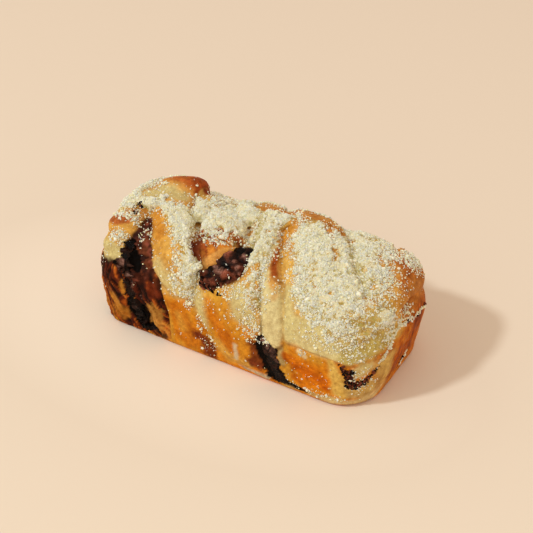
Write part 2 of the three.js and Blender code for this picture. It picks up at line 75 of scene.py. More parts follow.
# The strands. A knot holds the angle over the loaf (degrees, 0 at the front rim, 90 at the crown,
# 180 at the back rim), the place along the length, half the strand's span and its height above the
# loaf's smooth form. The span is along the length, or in degrees where a strand is turned.
STRANDS = {
    "left_end": dict(
        knots=[(24, -98, 10, -2), (42, -96, 13, -0.5), (60, -95, 14, 0.5),
               (76, -94, 15, 0.3), (95, -94, 15, -0.5), (140, -91, 16, -2),
               (188, -87, 19, -1)],
        drop=13, power=2.8, ends=(0.08, 0.1)),
    "golden_turn": dict(
        knots=[(9, -37, 14, 1.6), (25, -40, 18, 2.2), (45, -44, 20, 2.4),
               (65, -56, 20, 2.5), (88, -69, 19, 2), (120, -82, 18, 0), (155, -87, 16, 0),
               (188, -89, 13, -1)],
        drop=14, power=2.5, ends=(0.04, 0.12)),
    "knob": dict(
        knots=[(62, -20, 13, 0.5), (75, -24, 17, 3), (90, -28, 18, -1.5), (110, -38, 18, -6.5),
               (150, -48, 18, -4), (188, -53, 16, -1)],
        drop=14, power=2.4, ends=(0.12, 0.12)),
    "middle_turn": dict(
        knots=[(-38, 12, 16, 0.6), (-15, 9, 19, 0.9), (5, 6, 22, 1.2), (22, 6, 22, 1.2),
               (42, 13, 13, 0), (65, 10, 9, 0.5), (90, 4, 13, 2), (110, -3, 16, 4.5),
               (140, -15, 18, 2), (170, -22, 18, 0), (190, -24, 16, -1)],
        drop=12, power=2.6, ends=(0.05, 0.1)),
    "pale_fold": dict(
        knots=[(-5, 36, 8, -0.3), (15, 34, 9, -0.6), (31, 31, 9, -1), (56, 22.5, 8, -1.5),
               (78, 15, 7, -1.5), (100, 9, 6, -1)],
        drop=9, power=2.3, ends=(0.1, 0.12)),
    "broad_turn": dict(
        knots=[(3, 75, 33, 1.5), (20, 74, 35, 1.6), (40, 70, 35, 2), (60, 62, 34, 3),
               (80, 50, 29, 4.5), (100, 37, 26, 7.5), (115, 28, 23, 9.5), (140, 12, 21, 3),
               (188, 2, 18, -1)],
        drop=15, power=2.6, ends=(0.04, 0.12)),
    "right_turn": dict(
        knots=[(40, 97, 10, 0), (60, 95, 13, 1), (78, 89, 18, 2.5), (95, 81, 22, 4),
               (115, 71, 24, 4.5), (140, 59, 25, 2.5), (170, 47, 24, 0), (190, 41, 20, -1)],
        drop=14, power=2.5, ends=(0.12, 0.12)),
    "right_end": dict(
        knots=[(4, 98, 11, 0.3), (40, 99, 10, 1), (70, 98, 11, 2.5), (95, 96, 13, 4),
               (130, 91, 18, 3.5), (165, 86, 20, 0), (188, 83, 20, -0.5)],
        drop=12, power=2.8, ends=(0.06, 0.1)),
    "torn_ridge_first": dict(
        knots=[(20, -95, 4, 0.5), (4, -91, 5, 1), (-14, -86, 5, 0.8), (-34, -81, 4, 0.2)],
        drop=6, power=2, ends=(0.2, 0.2)),
    "torn_ridge_second": dict(
        knots=[(12, -67, 4, 0.4), (0, -61, 5, 1), (-16, -56, 5, 0.8), (-35, -52, 5, 0.2)],
        drop=6, power=2, ends=(0.2, 0.2)),
    "left_pale_edge": dict(
        knots=[(33, -105, 8, 0), (36, -97, 9, 1), (42, -88, 8, 0)],
        turned=True, drop=5, power=2.2, ends=(0.25, 0.25)),
    "left_brown_edge": dict(
        knots=[(50, -106, 7, 1), (54, -98, 8, 2.5), (59, -89, 7, 1.5)],
        turned=True, drop=5, power=2.2, ends=(0.25, 0.25)),
    "brown_knuckle": dict(
        knots=[(99, -93, 9, 1), (105, -83, 13, 5), (111, -70, 14, 7), (115, -57, 12, 6)],
        turned=True, drop=11, power=2.2, ends=(0.2, 0.2)),
    "small_knuckle": dict(
        knots=[(111, -59, 7, -0.6), (109, -49, 7, 0.4), (107, -39, 6, -0.8)],
        turned=True, drop=6, power=2.2, ends=(0.3, 0.3)),
}

# The turning ribbon of filling: place along the length and angle of one edge.
RIBBON_KNOTS = [(-98, 272), (-84, 220), (-76, 180), (-65, 149), (-34, 94), (-8, 45), (28, 2), (41, -33),
                (78, -108), (88, -172), (96, -204), (104, -212)]
RIBBON_HALF = 1.7
RIBBON_BURIED = 9
# Where an edge shows: which edge, from and to along the length, extra half thickness
EXPOSED = [(-1, -87, -63, 3.6), (1, 28, 45, 3.4), (-1, 89, 101, 2.6)]
EXPOSED_FADE = 7

# The opening, its dough flap and its filling: place, angle, height, half spans, turn
POCKET = dict(x=-13, t=53, depth=2, half=(21, 17, 10), turn=25)
POCKET_REACH = 20
POCKET_FLAP = dict(x=-23, t=59, depth=-6, half=(15, 13, 6), turn=20)
POCKET_FILLING = dict(x=-8, t=51, depth=-6.5, half=(23, 11, 6), turn=50)

# Crumb beds, as knots like a strand's
CRUMB_BEDS = [
    dict(knots=[(58, -94, 11, 1.8), (80, -95, 13, 2.4), (110, -94, 13, 0.4), (140, -92, 13, -1)],
         drop=8),
    dict(knots=[(16, -33, 7, 3), (30, -33, 9, 3.6), (45, -36, 10, 3.6), (55, -43, 11, 4),
                (65, -52, 14, 4.4), (76, -61, 17, 4.2), (92, -65, 14, 3)], drop=8),
    dict(knots=[(62, -23, 11, 2.6), (71, -24, 15, 4.8), (80, -26, 16, 4.4), (92, -29, 16, 1.6),
                (112, -39, 17, -3.8), (140, -47, 16, -2.6)], drop=8),
    dict(knots=[(20, 17, 8, 2.4), (32, 15, 10, 2.2), (45, 12, 9, 1.8), (65, 9, 7, 2.4),
                (90, 4, 11, 4.2), (112, -3, 14, 6.4), (140, -14, 15, 4)], drop=8),
    dict(knots=[(22, 88, 10, 2), (32, 82, 20, 2.8), (44, 74, 29, 3.6), (60, 65, 29, 4.8),
                (80, 52, 26, 6.8), (100, 40, 24, 9.8), (114, 32, 20, 11), (140, 14, 17, 5)],
         drop=9),
    dict(knots=[(60, 94, 9, 2.6), (78, 85, 14, 4), (95, 76, 18, 5.2), (115, 66, 20, 5.6),
                (140, 55, 20, 4)], drop=8),
    dict(knots=[(24, 97, 8, 2.4), (45, 98, 9, 3), (66, 97, 9, 4)], drop=6),
    dict(knots=[(72, -80, 9, 1.8), (82, -82, 12, 2.8), (92, -84, 13, 2.8)], drop=6),
    dict(knots=[(80, -48, 10, 0.6), (94, -53, 11, 0.8), (108, -58, 11, -0.8)], drop=6),
    dict(knots=[(96, -11, 11, 2), (110, -17, 13, 2.6), (124, -24, 12, 2.4)], drop=6),
    dict(knots=[(96, 19, 12, 6.6), (110, 13, 13, 7.4), (124, 6, 13, 6.6)], drop=6),
    dict(knots=[(98, 61, 11, 3.4), (112, 52, 13, 3.8), (126, 41, 13, 3)], drop=6),
]

# Colours, linear: crust, browned places, chocolate, crumbs, and the painted shade and highlights among them
GOLDEN = (0.64, 0.33, 0.065)
ORANGE = (0.61, 0.205, 0.010)
DEEP_ORANGE = (0.58, 0.155, 0.005)
PALE = (0.605, 0.485, 0.205)
CREAM = (0.66, 0.53, 0.25)
YELLOW = (0.62, 0.30, 0.032)
BROWN = (0.42, 0.118, 0.024)
RED_BROWN = (0.20, 0.032, 0.008)
AMBER = (0.60, 0.25, 0.03)
STREAK_RED = (0.28, 0.050, 0.009)
CORNER_GOLD = (0.60, 0.37, 0.10)
END_BROWN = (0.46, 0.17, 0.03)
END_WALL = (0.42, 0.085, 0.006)
END_DARK = (0.22, 0.040, 0.008)
END_LIGHT = (0.58, 0.19, 0.018)
KNUCKLE_GOLD = (0.56, 0.25, 0.055)
KNUCKLE_BROWN = (0.43, 0.110, 0.018)
SMALL_KNUCKLE_GOLD = (0.55, 0.30, 0.07)
TORN_STAIN = (0.085, 0.014, 0.005)
TORN_RED = (0.40, 0.085, 0.010)
TORN_GOLD_AND_HIGHLIGHT = (0.64, 0.245, 0.035)
TORN_BLACK_AND_SHADE = (0.018, 0.006, 0.004)
HOLLOW_RED_AND_HIGHLIGHT = (0.22, 0.055, 0.030)
HOLLOW_BLACK_AND_SHADE = (0.030, 0.010, 0.007)
FLAP_ORANGE = (0.60, 0.20, 0.025)
FLAP_STREAK = (0.28, 0.055, 0.012)
FLAP_DARK_AND_SHADE = (0.14, 0.028, 0.010)
FLAP_EDGE = (0.64, 0.34, 0.09)
FURROW_SHADE = (0.24, 0.085, 0.020)
DARK_STAIN_AND_SHADE = (0.055, 0.014, 0.006)
CHOCOLATE = (0.008, 0.0027, 0.0016)
BURNT = (0.003, 0.0018, 0.0013)
CHOCOLATE_RED = (0.19, 0.044, 0.020)
CHOCOLATE_HIGHLIGHT = (0.13, 0.064, 0.048)
CHOCOLATE_LIGHT = (0.16, 0.05, 0.025)
CRUMB_LIGHT = (0.875, 0.83, 0.665)
CRUMB_YELLOW = (0.83, 0.75, 0.475)
CRUMB_TOASTED = (0.60, 0.38, 0.13)
CRUMB_HEAP = (0.785, 0.715, 0.485)
CRUMB_PIT_SHADE = (0.43, 0.335, 0.095)

# Marks on the crust. A run is a list of knots: place along the length, angle over the loaf, half width.
# Chocolate that shows: the hollow and seam at the left, the gap at the base, the right corner. A row
# holds a run, softness and raggedness.
CHOCOLATE_RUNS = [
    ([(-83, 41, 1.5), (-79, 34, 6), (-74, 27, 6), (-72, 22, 3)], 0.5, 1),
    ([(-89, 21, 1.5), (-84, 22, 2.5)], 0.6, 2.5),
    ([(-80, 24, 3), (-78, 12, 2.2), (-76, 0, 2.4), (-75, -8, 3.5), (-73, -17, 6.5), (-70, -26, 7),
      (-65, -34, 5)], 0.6, 3.5),
    ([(27, -1, 4), (30, -10, 7), (33, -22, 7.5), (38, -34, 6.5)], 0.7, 2.5),
    ([(41, -35, 3), (61, -38, 0.8)], 0.7, 1),
    ([(90, 0, 0), (92, -7, 0.3), (93, -19, 1.4), (98, -16, 0.3), (104, -9, -0.5)], 0.8, 5.5),
]

# The torn face at the left end, as runs: the last is the hollow under the strand
HOLLOW = [(-78.5, 66, 2), (-76, 52, 6), (-74, 38, 10), (-72, 26, 12)]
TORN_FACE = [
    [(-92, 11, 10), (-80, 8, 16), (-74, -10, 20), (-72, -30, 21)],
    [(-70, 24, 10), (-62, 14, 10), (-58, 2, 9), (-55, -12, 9), (-54, -34, 9)],
    HOLLOW,
]

# Furrows between the strands behind the crown: run and depth
BACK_FURROWS = [([(high, 122, 0.4), ((high + low) / 2, 152, 0.5), (low, 184, 0.4), (low - 4, 204, 0.2)], 2.6)
                for high, low in ((-68, -74), (-28, -40), (0, -12), (42, 22), (82, 66))]

# Creases between strands: run and depth
CREASES = [
    ([(-60, 27, 0.3), (-52, 16, 0.5), (-49, 2, 0.3), (-46, -15, 0.2), (-46, -34, 0)], 1.8),
    ([(-58, 25, 0.2), (-50, 17, 0.4), (-39, 14, 0.4), (-33, 12, 0.4), (-26, 14, 0.2)], 1.5),
    ([(-26, 40, 0.2), (-25, 22, 0.5), (-23, 8, 0.4), (-19, -8, 0.3), (-13, -22, 0.3), (-9, -37, 0.2)], 1.4),
    ([(8, 72, 0.2), (16, 55, 0.4), (21, 41, 0.4), (25, 22, 0.4), (28, 2, 0.4)], 1.8),
    ([(11, 98, 0.3), (20, 77, 0.4), (28, 60, 0.4), (36, 44, 0.4), (40, 27, 0.4), (43, 8, 0.3)], 2),
    ([(29, -5, 0.4), (36, -9, 0.5), (42, -4, 0.4), (44, 4, 0.3)], 1.8),
    ([(43, 6, 0.2), (57, 5, 0.4), (69, 7, 0.4), (82, 7, 0.4), (92, 1, 0.4)], 1),
    ([(-56, 92, 0.4), (-48, 81, 0.5), (-38, 62, 0.5), (-26, 44, 0.4)], 2),
    ([(0, 69, 0.4), (-1, 84, 0.6), (-5, 98, 0.5), (-14, 112, 0.3)], 3),
    ([(47, 111, 0.6), (60, 101, 0.8), (71, 86, 0.8), (84, 72, 0.6), (89, 66, 0.4)], 3),
    *BACK_FURROWS,
]

# Colour marks: run, colour, strength, softness, raggedness
MARKS = [
    # golden turn, orange above and pale below
    ([(-76, 72, 6), (-64, 54, 7), (-56, 38, 7), (-50, 26, 8), (-38, 20, 9)], (0.58, 0.28, 0.05), 1, 2, 1.5),
    ([(-72, 70, 5), (-62, 55, 5)], (0.60, 0.24, 0.03), 0.8, 3, 2),
    ([(-56, 34, 4), (-48, 25, 6), (-34, 20, 7)], PALE, 0.8, 4, 2.5),
    ([(-90, 88, 5), (-80, 93, 6), (-66, 94, 5)], (0.585, 0.455, 0.19), 0.95, 3, 2),
    ([(-92, 60, 5), (-86, 66, 6), (-82, 74, 4)], (0.54, 0.24, 0.05), 0.9, 2, 2),
    # browned front of the knob
    ([(-36, 70, 5), (-24, 68, 7), (-12, 74, 5)], (0.36, 0.075, 0.014), 0.95, 2, 2),
    ([(9, 33, 3), (6, 24, 3), (8, 14, 2)], (0.34, 0.08, 0.02), 0.7, 1.5, 5),
    # wall under the golden turn
    ([(-43, 4, 4), (-33, -18, 9), (-28, -30, 7)], DEEP_ORANGE, 0.7, 4, 3),
    ([(-36, -8, 3), (-34, -22, 3)], (0.62, 0.30, 0.04), 0.8, 3, 2.5),
    ([(-21, -22, 4.5), (-15, -28, 5.5), (-13, -37, 5.5)], (0.17, 0.026, 0.006), 0.95, 2, 4),
    # middle turn
    ([(-4, 20, 8), (2, 6, 13), (9, -8, 14), (12, -24, 12)], (0.59, 0.235, 0.018), 0.9, 4, 4),
    ([(-14, 20, 2), (-7, 4, 4), (1, -10, 6), (6, -22, 5)], DEEP_ORANGE, 0.9, 4, 4),
    ([(18, 8, 3), (19, -8, 3), (18, -20, 3)], (0.60, 0.20, 0.010), 0.7, 3, 4),
    ([(-25, 34, 4), (-22, 18, 4.5), (-18, 3, 3.5), (-15, -10, 2)], PALE, 0.95, 2.5, 1.5),
    ([(-22, 32, 4), (-14, 27, 4), (-6, 25, 3)], YELLOW, 0.9, 3, 2),
    ([(8, 34, 7), (14, 20, 8), (22, 12, 4)], PALE, 0.9, 4, 3),
    ([(-8, -22, 4), (4, -31, 7), (16, -31, 5)], (0.64, 0.34, 0.06), 0.9, 3, 3),
    ([(9, -14, 1.2), (9, -28, 1.3)], (0.60, 0.47, 0.30), 0.9, 1, 2),
    ([(18, -24, 2), (24, -30, 3)], (0.22, 0.04, 0.01), 0.9, 2, 2),
    ([(10, -37, 1.2), (31, -38, 2.2)], (0.45, 0.35, 0.22), 0.9, 1, 1),
    # painted shade in the furrow right of the knob
    ([(0, 64, 3), (-1, 82, 3.5), (-5, 100, 3.5)], (0.46, 0.36, 0.13), 0.95, 2, 1.5),
    ([(20, -6, 3), (22, -16, 4), (24, -28, 4.5)], (0.15, 0.026, 0.008), 0.9, 2, 4),
    # pale fold and its red streak
    ([(34, 2, 8), (34, 15, 8.5), (31, 31, 8), (26, 48, 6), (22, 58, 5.5), (15, 76, 4)], CREAM, 1, 1.2, 0.8),
    ([(17, 80, 2), (21, 66, 3.6), (25, 56, 4), (28, 48, 3)], (0.62, 0.26, 0.03), 0.9, 2, 2),
    ([(17, 80, 1.2), (20, 68, 2.4), (24, 58, 2.8), (27, 52, 1.4)], STREAK_RED, 0.95, 1.2, 1.5),
    ([(27, 52, 3), (31, 40, 2)], (0.60, 0.30, 0.08), 0.6, 2, 2),
    ([(41, -4, 2.6), (43, -18, 2.6)], (0.44, 0.31, 0.12), 1, 1.2, 1),
    # broad turn: golden left edge, pale lower front
    ([(52, 22, 10), (68, 20, 12), (82, 22, 12), (92, 18, 8)], PALE, 1, 3, 1.5),
    ([(50, 12, 5), (66, 13, 5), (82, 15, 5)], CREAM, 0.5, 4, 2),
    ([(90, 14, 6), (100, 20, 8), (104, 36, 7)], (0.50, 0.39, 0.115), 0.9, 4, 3),
    ([(80, 34, 6), (90, 38, 10), (99, 48, 9), (101, 62, 6)], (0.51, 0.34, 0.10), 0.9, 3, 3),
    ([(25, 74, 3), (30, 66, 4.5), (35, 58, 4.5)], (0.72, 0.42, 0.095), 0.95, 3, 2),
    ([(38, 49, 4), (42, 38, 5), (46, 26, 6), (48, 14, 5)], PALE, 0.9, 3, 2),
    ([(13, 100, 4), (17, 88, 2)], AMBER, 0.9, 2, 2),
    ([(45, 56, 4), (50, 48, 6), (58, 42, 7), (70, 38, 6)], PALE, 0.9, 3, 2),
    # wall under the broad turn
    ([(46, -8, 3), (57, -14, 7), (69, -19, 8), (76, -26, 5), (54, -28, 5)], DEEP_ORANGE, 1, 2, 2),
    ([(52, -14, 3), (62, -20, 4), (72, -23, 4)], (0.52, 0.105, 0.003), 0.8, 3, 5),
    ([(56, 1, 3), (70, 1, 3)], YELLOW, 0.8, 2, 2),
    ([(55, 3, 2), (60, 1, 2.2)], (0.68, 0.53, 0.30), 0.7, 1, 4),
    ([(46, -38, 1.2), (66, -37.5, 1.8), (84, -36.5, 3)], (0.58, 0.40, 0.15), 0.9, 1.2, 1.5),
    ([(79, 5, 2.5), (83, -12, 5), (86, -30, 6)], (0.66, 0.40, 0.085), 1, 2, 2),
    ([(80, 3, 0.2), (81, -12, 0.3), (82, -28, 0.3)], (0.36, 0.14, 0.025), 0.7, 0.8, 0.4),
    ([(86, -3, 0.2), (87, -16, 0.4), (88, -31, 0.3)], (0.42, 0.19, 0.03), 0.7, 0.9, 0.6),
    ([(92, -32, 4), (100, -35, 5), (106, -30, 5)], (0.50, 0.32, 0.11), 0.9, 2, 2.5),
    ([(72, -39, 1.5), (86, -40, 3), (96, -42, 4), (102, -44, 4)], (0.62, 0.45, 0.20), 0.9, 2, 1.5),
    ([(96, -4, 5), (102, 2, 4)], PALE, 0.9, 2, 2),
    # painted shade along the lines where the strands meet
    ([(8, 74, 0.2), (16, 55, 0.4), (21, 41, 0.4), (25, 22, 0.5), (28, 2, 0.7)],
     (0.10, 0.045, 0.018), 0.85, 0.7, 0.5),
    ([(43, 6, 0.3), (57, 5, 0.3), (69, 7, 0.3), (82, 7, 0.3), (92, 1, 0.4)],
     (0.34, 0.19, 0.06), 0.7, 0.9, 0.5),
    ([(-56, 23, 0.4), (-49, 17, 0.4), (-39, 14, 0.4), (-33, 12, 0.3)], (0.26, 0.10, 0.025), 0.7, 0.8, 0.8),
    ([(-20, -6, 0.3), (-13, -22, 0.5), (-9, -37, 0.4)], (0.16, 0.04, 0.012), 0.8, 0.8, 0.8),
    ([(20, 77, 0.1), (28, 60, 0.2), (36, 44, 0.4), (40, 27, 0.5), (43, 8, 0.5)],
     (0.38, 0.21, 0.05), 0.75, 0.9, 0.4),
    ([(31, -6, 0.5), (36, -9, 0.6), (41, -5, 0.5), (44, 3, 0.3)], (0.26, 0.12, 0.03), 0.85, 0.9, 0.4),
    # behind the crown
    ([(-50, 130, 12), (-54, 165, 14)], (0.60, 0.30, 0.055), 0.7, 6, 6),
    ([(-14, 130, 10), (-22, 165, 12)], (0.62, 0.40, 0.12), 0.7, 6, 6),
    ([(20, 128, 10), (6, 165, 12)], (0.42, 0.12, 0.022), 0.7, 6, 6),
    ([(62, 130, 12), (48, 165, 14)], (0.62, 0.32, 0.06), 0.7, 6, 6),
    # painted shade along the furrows behind the crown
    *((run, FURROW_SHADE, 0.8, 1, 0.8) for run, _ in BACK_FURROWS),
    # right end
    ([(97, 112, 8), (104, 122, 9), (105, 145, 8), (104, 96, 7)], (0.42, 0.12, 0.018), 1, 3, 3),
    ([(90, -22, 4), (98, -27, 8), (104, -24, 6)], (0.60, 0.385, 0.115), 0.9, 3, 3),
]

# Marks on the torn face and the lips over it
LEFT_MARKS = [
    ([(-58, -10, 3), (-56, -18, 6), (-54, -30, 6)], (0.55, 0.255, 0.048), 0.75, 2, 6),
    ([(-58, 12, 3), (-54, 6, 3.5)], (0.17, 0.028, 0.008), 0.8, 1.5, 3),
    ([(-61, -36, 2.5), (-50, -38, 2)], (0.07, 0.032, 0.018), 0.85, 1.5, 2.5),
    ([(-90, -16, 4), (-84, -30, 6)], (0.58, 0.23, 0.03), 0.8, 2, 4),
    ([(-82, 6, 1.5), (-81, -8, 2)], AMBER, 0.8, 1.5, 2.5),
    ([*HOLLOW, (-72, 20, 11)], (0.060, 0.014, 0.007), 0.9, 1.2, 2.5),
    ([(-73, 56, 2), (-68, 40, 3), (-64, 28, 3)], (0.22, 0.06, 0.022), 0.6, 2, 6),
    # painted shade along the crease at the golden turn's left edge
    ([(-60, 25, 1), (-53, 15, 1.6), (-50, 4, 0.7), (-47, -15, 0.4), (-46, -34, 0.4)],
     DARK_STAIN_AND_SHADE, 0.9, 0.8, 1),
    ([(-105, 37, 6), (-98, 30, 7), (-91, 31, 6), (-88, 26, 3)], PALE, 1, 2, 3),
    ([(-107, 40, 4), (-103, 42, 4), (-96, 42, 3)], (0.62, 0.37, 0.085), 0.8, 3, 2),
    ([(-104, 45, 2), (-94, 44, 3)], (0.58, 0.25, 0.04), 0.8, 1.6, 1.5),
    ([(-105, 54, 4), (-96, 55, 4), (-89, 58, 3)], (0.40, 0.11, 0.025), 1, 1.4, 1.5),
    ([(-107, 52, 3), (-104, 56, 2)], RED_BROWN, 0.9, 1, 1),
]


def smooth(low, high, value):
    """A smooth step from 0 at low to 1 at high; low may be the larger."""
    share = np.clip((np.asarray(value, float) - low) / (high - low), 0, 1)
    return share * share * (3 - 2 * share)


def window(value, low, high, soft):
    """1 between low and high, fading to 0 over soft outside them."""
    return smooth(low - soft, low, value) * (1 - smooth(high, high + soft, value))


def hash_grid(cells, seed):
    """A repeatable number from 0 to 1 for each whole-number grid cell."""
    cells = cells.astype(np.int64)
    mixed = cells[..., 0] * 73856093 ^ cells[..., 1] * 19349663 ^ cells[..., 2] * 83492791 ^ seed * 2654435761
    mixed = (mixed ^ (mixed >> 13)) * 1274126177
    mixed = (mixed ^ (mixed >> 16)) & 0xFFFFFF
    return mixed / 0xFFFFFF


def bumps(points, size, seed):
    """Smooth noise from -1 to 1 with features about size millimetres across."""
    place = np.asarray(points, float) / size + seed * 17.31
    low = np.floor(place)
    part = place - low
    part = part * part * (3 - 2 * part)
    total = np.zeros(len(place))
    for corner in np.ndindex(2, 2, 2):
        offset = np.array(corner)
        weight = np.prod(np.where(offset == 1, part, 1 - part), axis=1)
        total += weight * hash_grid(low + offset, seed)
    return total * 2 - 1


# Brings several scales of bumps added up back to about -1 to 1
NOISE_SCALE = 1.5


def rough_noise(points, size, seed, octaves=3):
    """Several scales of bumps added up, finer ones weaker."""
    total = np.zeros(len(points))
    for k in range(octaves):
        total += bumps(points, size / 2 ** k, seed + k) * 0.5 ** k
    return total / NOISE_SCALE


# The loaf's smooth form


def knots_at(knots, shares):
    """A smooth run through rows of numbers at shares of its length."""
    rows = np.array(knots, float)
    last = len(rows) - 1
    place = np.clip(np.asarray(shares, float), 0, 1) * last
    i = np.minimum(place.astype(int), last - 1)
    w = (place - i)[:, None]
    padded = np.vstack([2 * rows[0] - rows[1], rows, 2 * rows[-1] - rows[-2]])
    before, start, end, after = padded[i], padded[i + 1], padded[i + 2], padded[i + 3]
    bend = 2 * before - 5 * start + 4 * end - after
    twist = 3 * start - before - 3 * end + after
    return 0.5 * (2 * start + (end - before) * w + bend * w * w + twist * w ** 3)


def by_side(pair, x):
    """The left or right value of a pair, by the sign of x."""
    return np.where(np.asarray(x) < 0, pair[0], pair[1])


def half_width_at(x):
    corner = by_side(DOME_CORNER, x)
    from_end = np.maximum(LENGTH / 2 - np.abs(x), 0)
    k = np.maximum(1 - from_end / corner, 0)
    return WIDTH / 2 - corner + corner * np.sqrt(1 - k * k)


def dome_height_at(x):
    length = by_side(DOME_END_LENGTH, x)
    k = np.clip((np.abs(x) - LENGTH / 2 + length) / length, 0, 1)
    return DOME_HEIGHT * np.sqrt(1 - by_side(DOME_END_DROP, x) * k * k)


def smooth_point(x, degrees):
    c = np.cos(np.radians(degrees))
    s = np.sin(np.radians(degrees))
    over = (np.abs(c) ** DOME_POWER + np.maximum(s, 0) ** DOME_POWER) ** (-1 / DOME_POWER)
    under = np.minimum(1 / np.maximum(np.abs(c), 1e-6), RIM_HEIGHT / (DOME_HEIGHT * np.maximum(-s, 1e-6)))
    reach = np.where(s < 0, under, over)
    height = np.where(s < 0, DOME_HEIGHT, dome_height_at(x))
    return np.stack([x + 0 * c, -half_width_at(x) * reach * c, RIM_HEIGHT + height * reach * s], -1)


def unit(vectors):
    return vectors / np.maximum(np.linalg.norm(vectors, axis=-1, keepdims=True), 1e-9)


def smooth_frame(x, degrees):
    """Centre and the directions along the length, over the loaf and outward."""
    step = 0.2
    limit = LENGTH / 2 - END_CLEARANCE
    x = np.clip(np.asarray(x, float), -limit, limit)
    degrees = np.asarray(degrees, float) + 0 * x
    ahead = smooth_point(np.minimum(x + step, limit), degrees)
    along = ahead - smooth_point(np.maximum(x - step, -limit), degrees)
    over = smooth_point(x, degrees + step) - smooth_point(x, degrees - step)
    along, over = unit(along), unit(over)
    return smooth_point(x, degrees), along, over, unit(np.cross(along, over))


def raised(x, degrees, height):
    centre, _, _, out = smooth_frame(x, degrees)
    return centre + out * np.asarray(height, float)[..., None]


def unroll(points):
    """Place along the length and angle over the loaf for points in the loaf's own frame."""
    x = np.clip(points[:, 0], -LENGTH / 2 + 0.5, LENGTH / 2 - 0.5)
    up = (points[:, 2] - RIM_HEIGHT) / np.where(points[:, 2] < RIM_HEIGHT, DOME_HEIGHT, dome_height_at(x))
    front = -points[:, 1] / half_width_at(x)
    degrees = np.degrees(np.arctan2(up, front))
    return x, np.where(degrees < -90, degrees + 360, degrees)


# Mesh making


def tube_faces(rows, around):
    """Faces of a closed tube of rows rings, with a single point at each end."""
    faces = []
    last = 1 + rows * around
    for j in range(around):
        k = (j + 1) % around
        faces.append((0, 1 + k, 1 + j))
        for i in range(rows - 1):
            a = 1 + i * around
            faces.append((a + j, a + k, a + around + k, a + around + j))
        faces.append((last - around + j, last - around + k, last))
    return faces


def fullness(shares, ends):
    """How full a strand is at shares of its length: it closes in an arc at each end."""
    first = np.clip(1 - shares / ends[0], 0, 1)
    last = np.clip(1 - (1 - shares) / ends[1], 0, 1)
    return np.sqrt(1 - first ** 2) * np.sqrt(1 - last ** 2)


def strand_mesh(strand, along=70, around=52):
    """A strand drawn out along its knots and laid over the loaf."""
    power = strand.get("power", 2.3)
    ends = strand.get("ends", (0.15, 0.15))
    shares = 0.5 - 0.5 * np.cos(np.linspace(0, np.pi, along + 2))
    rows = knots_at(strand["knots"], shares)
    full = fullness(shares, ends)[:, None]
    turn = np.linspace(0, 2 * np.pi, around, endpoint=False)[None, :]
    across = np.sign(np.cos(turn)) * np.abs(np.cos(turn)) ** (2 / power) * full
    up = np.sign(np.sin(turn)) * np.abs(np.sin(turn)) ** (2 / power) * full
    degrees, x, half, lift = (rows[:, k:k + 1] for k in range(4))
    turned = strand.get("turned", False)
    x = x + half * across * (not turned)
    degrees = degrees + half * across * turned
    height = lift - strand["drop"] + np.where(up > 0, strand["drop"], STRAND_UNDERSIDE) * up
    points = raised(x.ravel(), degrees.ravel(), height.ravel())
    points = points.reshape(along + 2, around, 3)
    verts = np.vstack([points[0, :1], points[1:-1].reshape(-1, 3), points[-1, :1]])
    return verts, tube_faces(along, around)


def lump_mesh(spec, rows=40, around=60):
    """A rounded lump set on the smooth form and turned about its outward direction."""
    centre, along, over, out = (v[0] for v in smooth_frame([spec["x"]], [spec["t"]]))
    c, s = math.cos(math.radians(spec["turn"])), math.sin(math.radians(spec["turn"]))
    tilt = np.linspace(0, np.pi, rows + 2)[:, None]
    turn = np.linspace(0, 2 * np.pi, around, endpoint=False)[None, :]
    a = (np.sin(tilt) * np.cos(turn) * spec["half"][0])[..., None]
    b = (np.sin(tilt) * np.sin(turn) * spec["half"][1])[..., None]
    h = (np.cos(tilt) + 0 * turn)[..., None] * spec["half"][2] + spec["depth"]
    points = centre + along * (a * c - b * s) + over * (a * s + b * c) + out * h
    verts = np.vstack([points[0, :1], points[1:-1].reshape(-1, 3), points[-1, :1]])
    return verts, tube_faces(rows, around)


def plan_ring(inset, z, corner_steps=12, long_steps=40, short_steps=20):
    """A rounded rectangle, drawn in by inset, at a height."""
    tuck = RIGHT_TUCK * min(max(1 - z / RIM_HEIGHT, 0), 1)
    half_width = WIDTH / 2 - inset
    arcs = []
    for side_x, side_y, start in ((1, 1, 0), (-1, 1, 90), (-1, -1, 180), (1, -1, 270)):
        half_length = LENGTH / 2 - inset - (tuck if side_x > 0 else 0)
        full = CORE_CORNER[0] if side_x < 0 else CORE_CORNER[1]
        radius = min(max(full - inset / 2, 3), half_length, half_width)
        angle = np.radians(start + np.linspace(0, 90, corner_steps + 1))
        px = side_x * (half_length - radius) + radius * np.cos(angle)
        py = side_y * (half_width - radius) + radius * np.sin(angle)
        arcs.append(np.stack([px, py, np.full_like(px, z)], -1))
    ring = []
    for i, arc in enumerate(arcs):
        steps = long_steps if i % 2 == 0 else short_steps
        shares = np.arange(1, steps)[:, None] / steps
        ring += [arc, arc[-1] + (arcs[(i + 1) % 4][0] - arc[-1]) * shares]
    return np.vstack(ring)


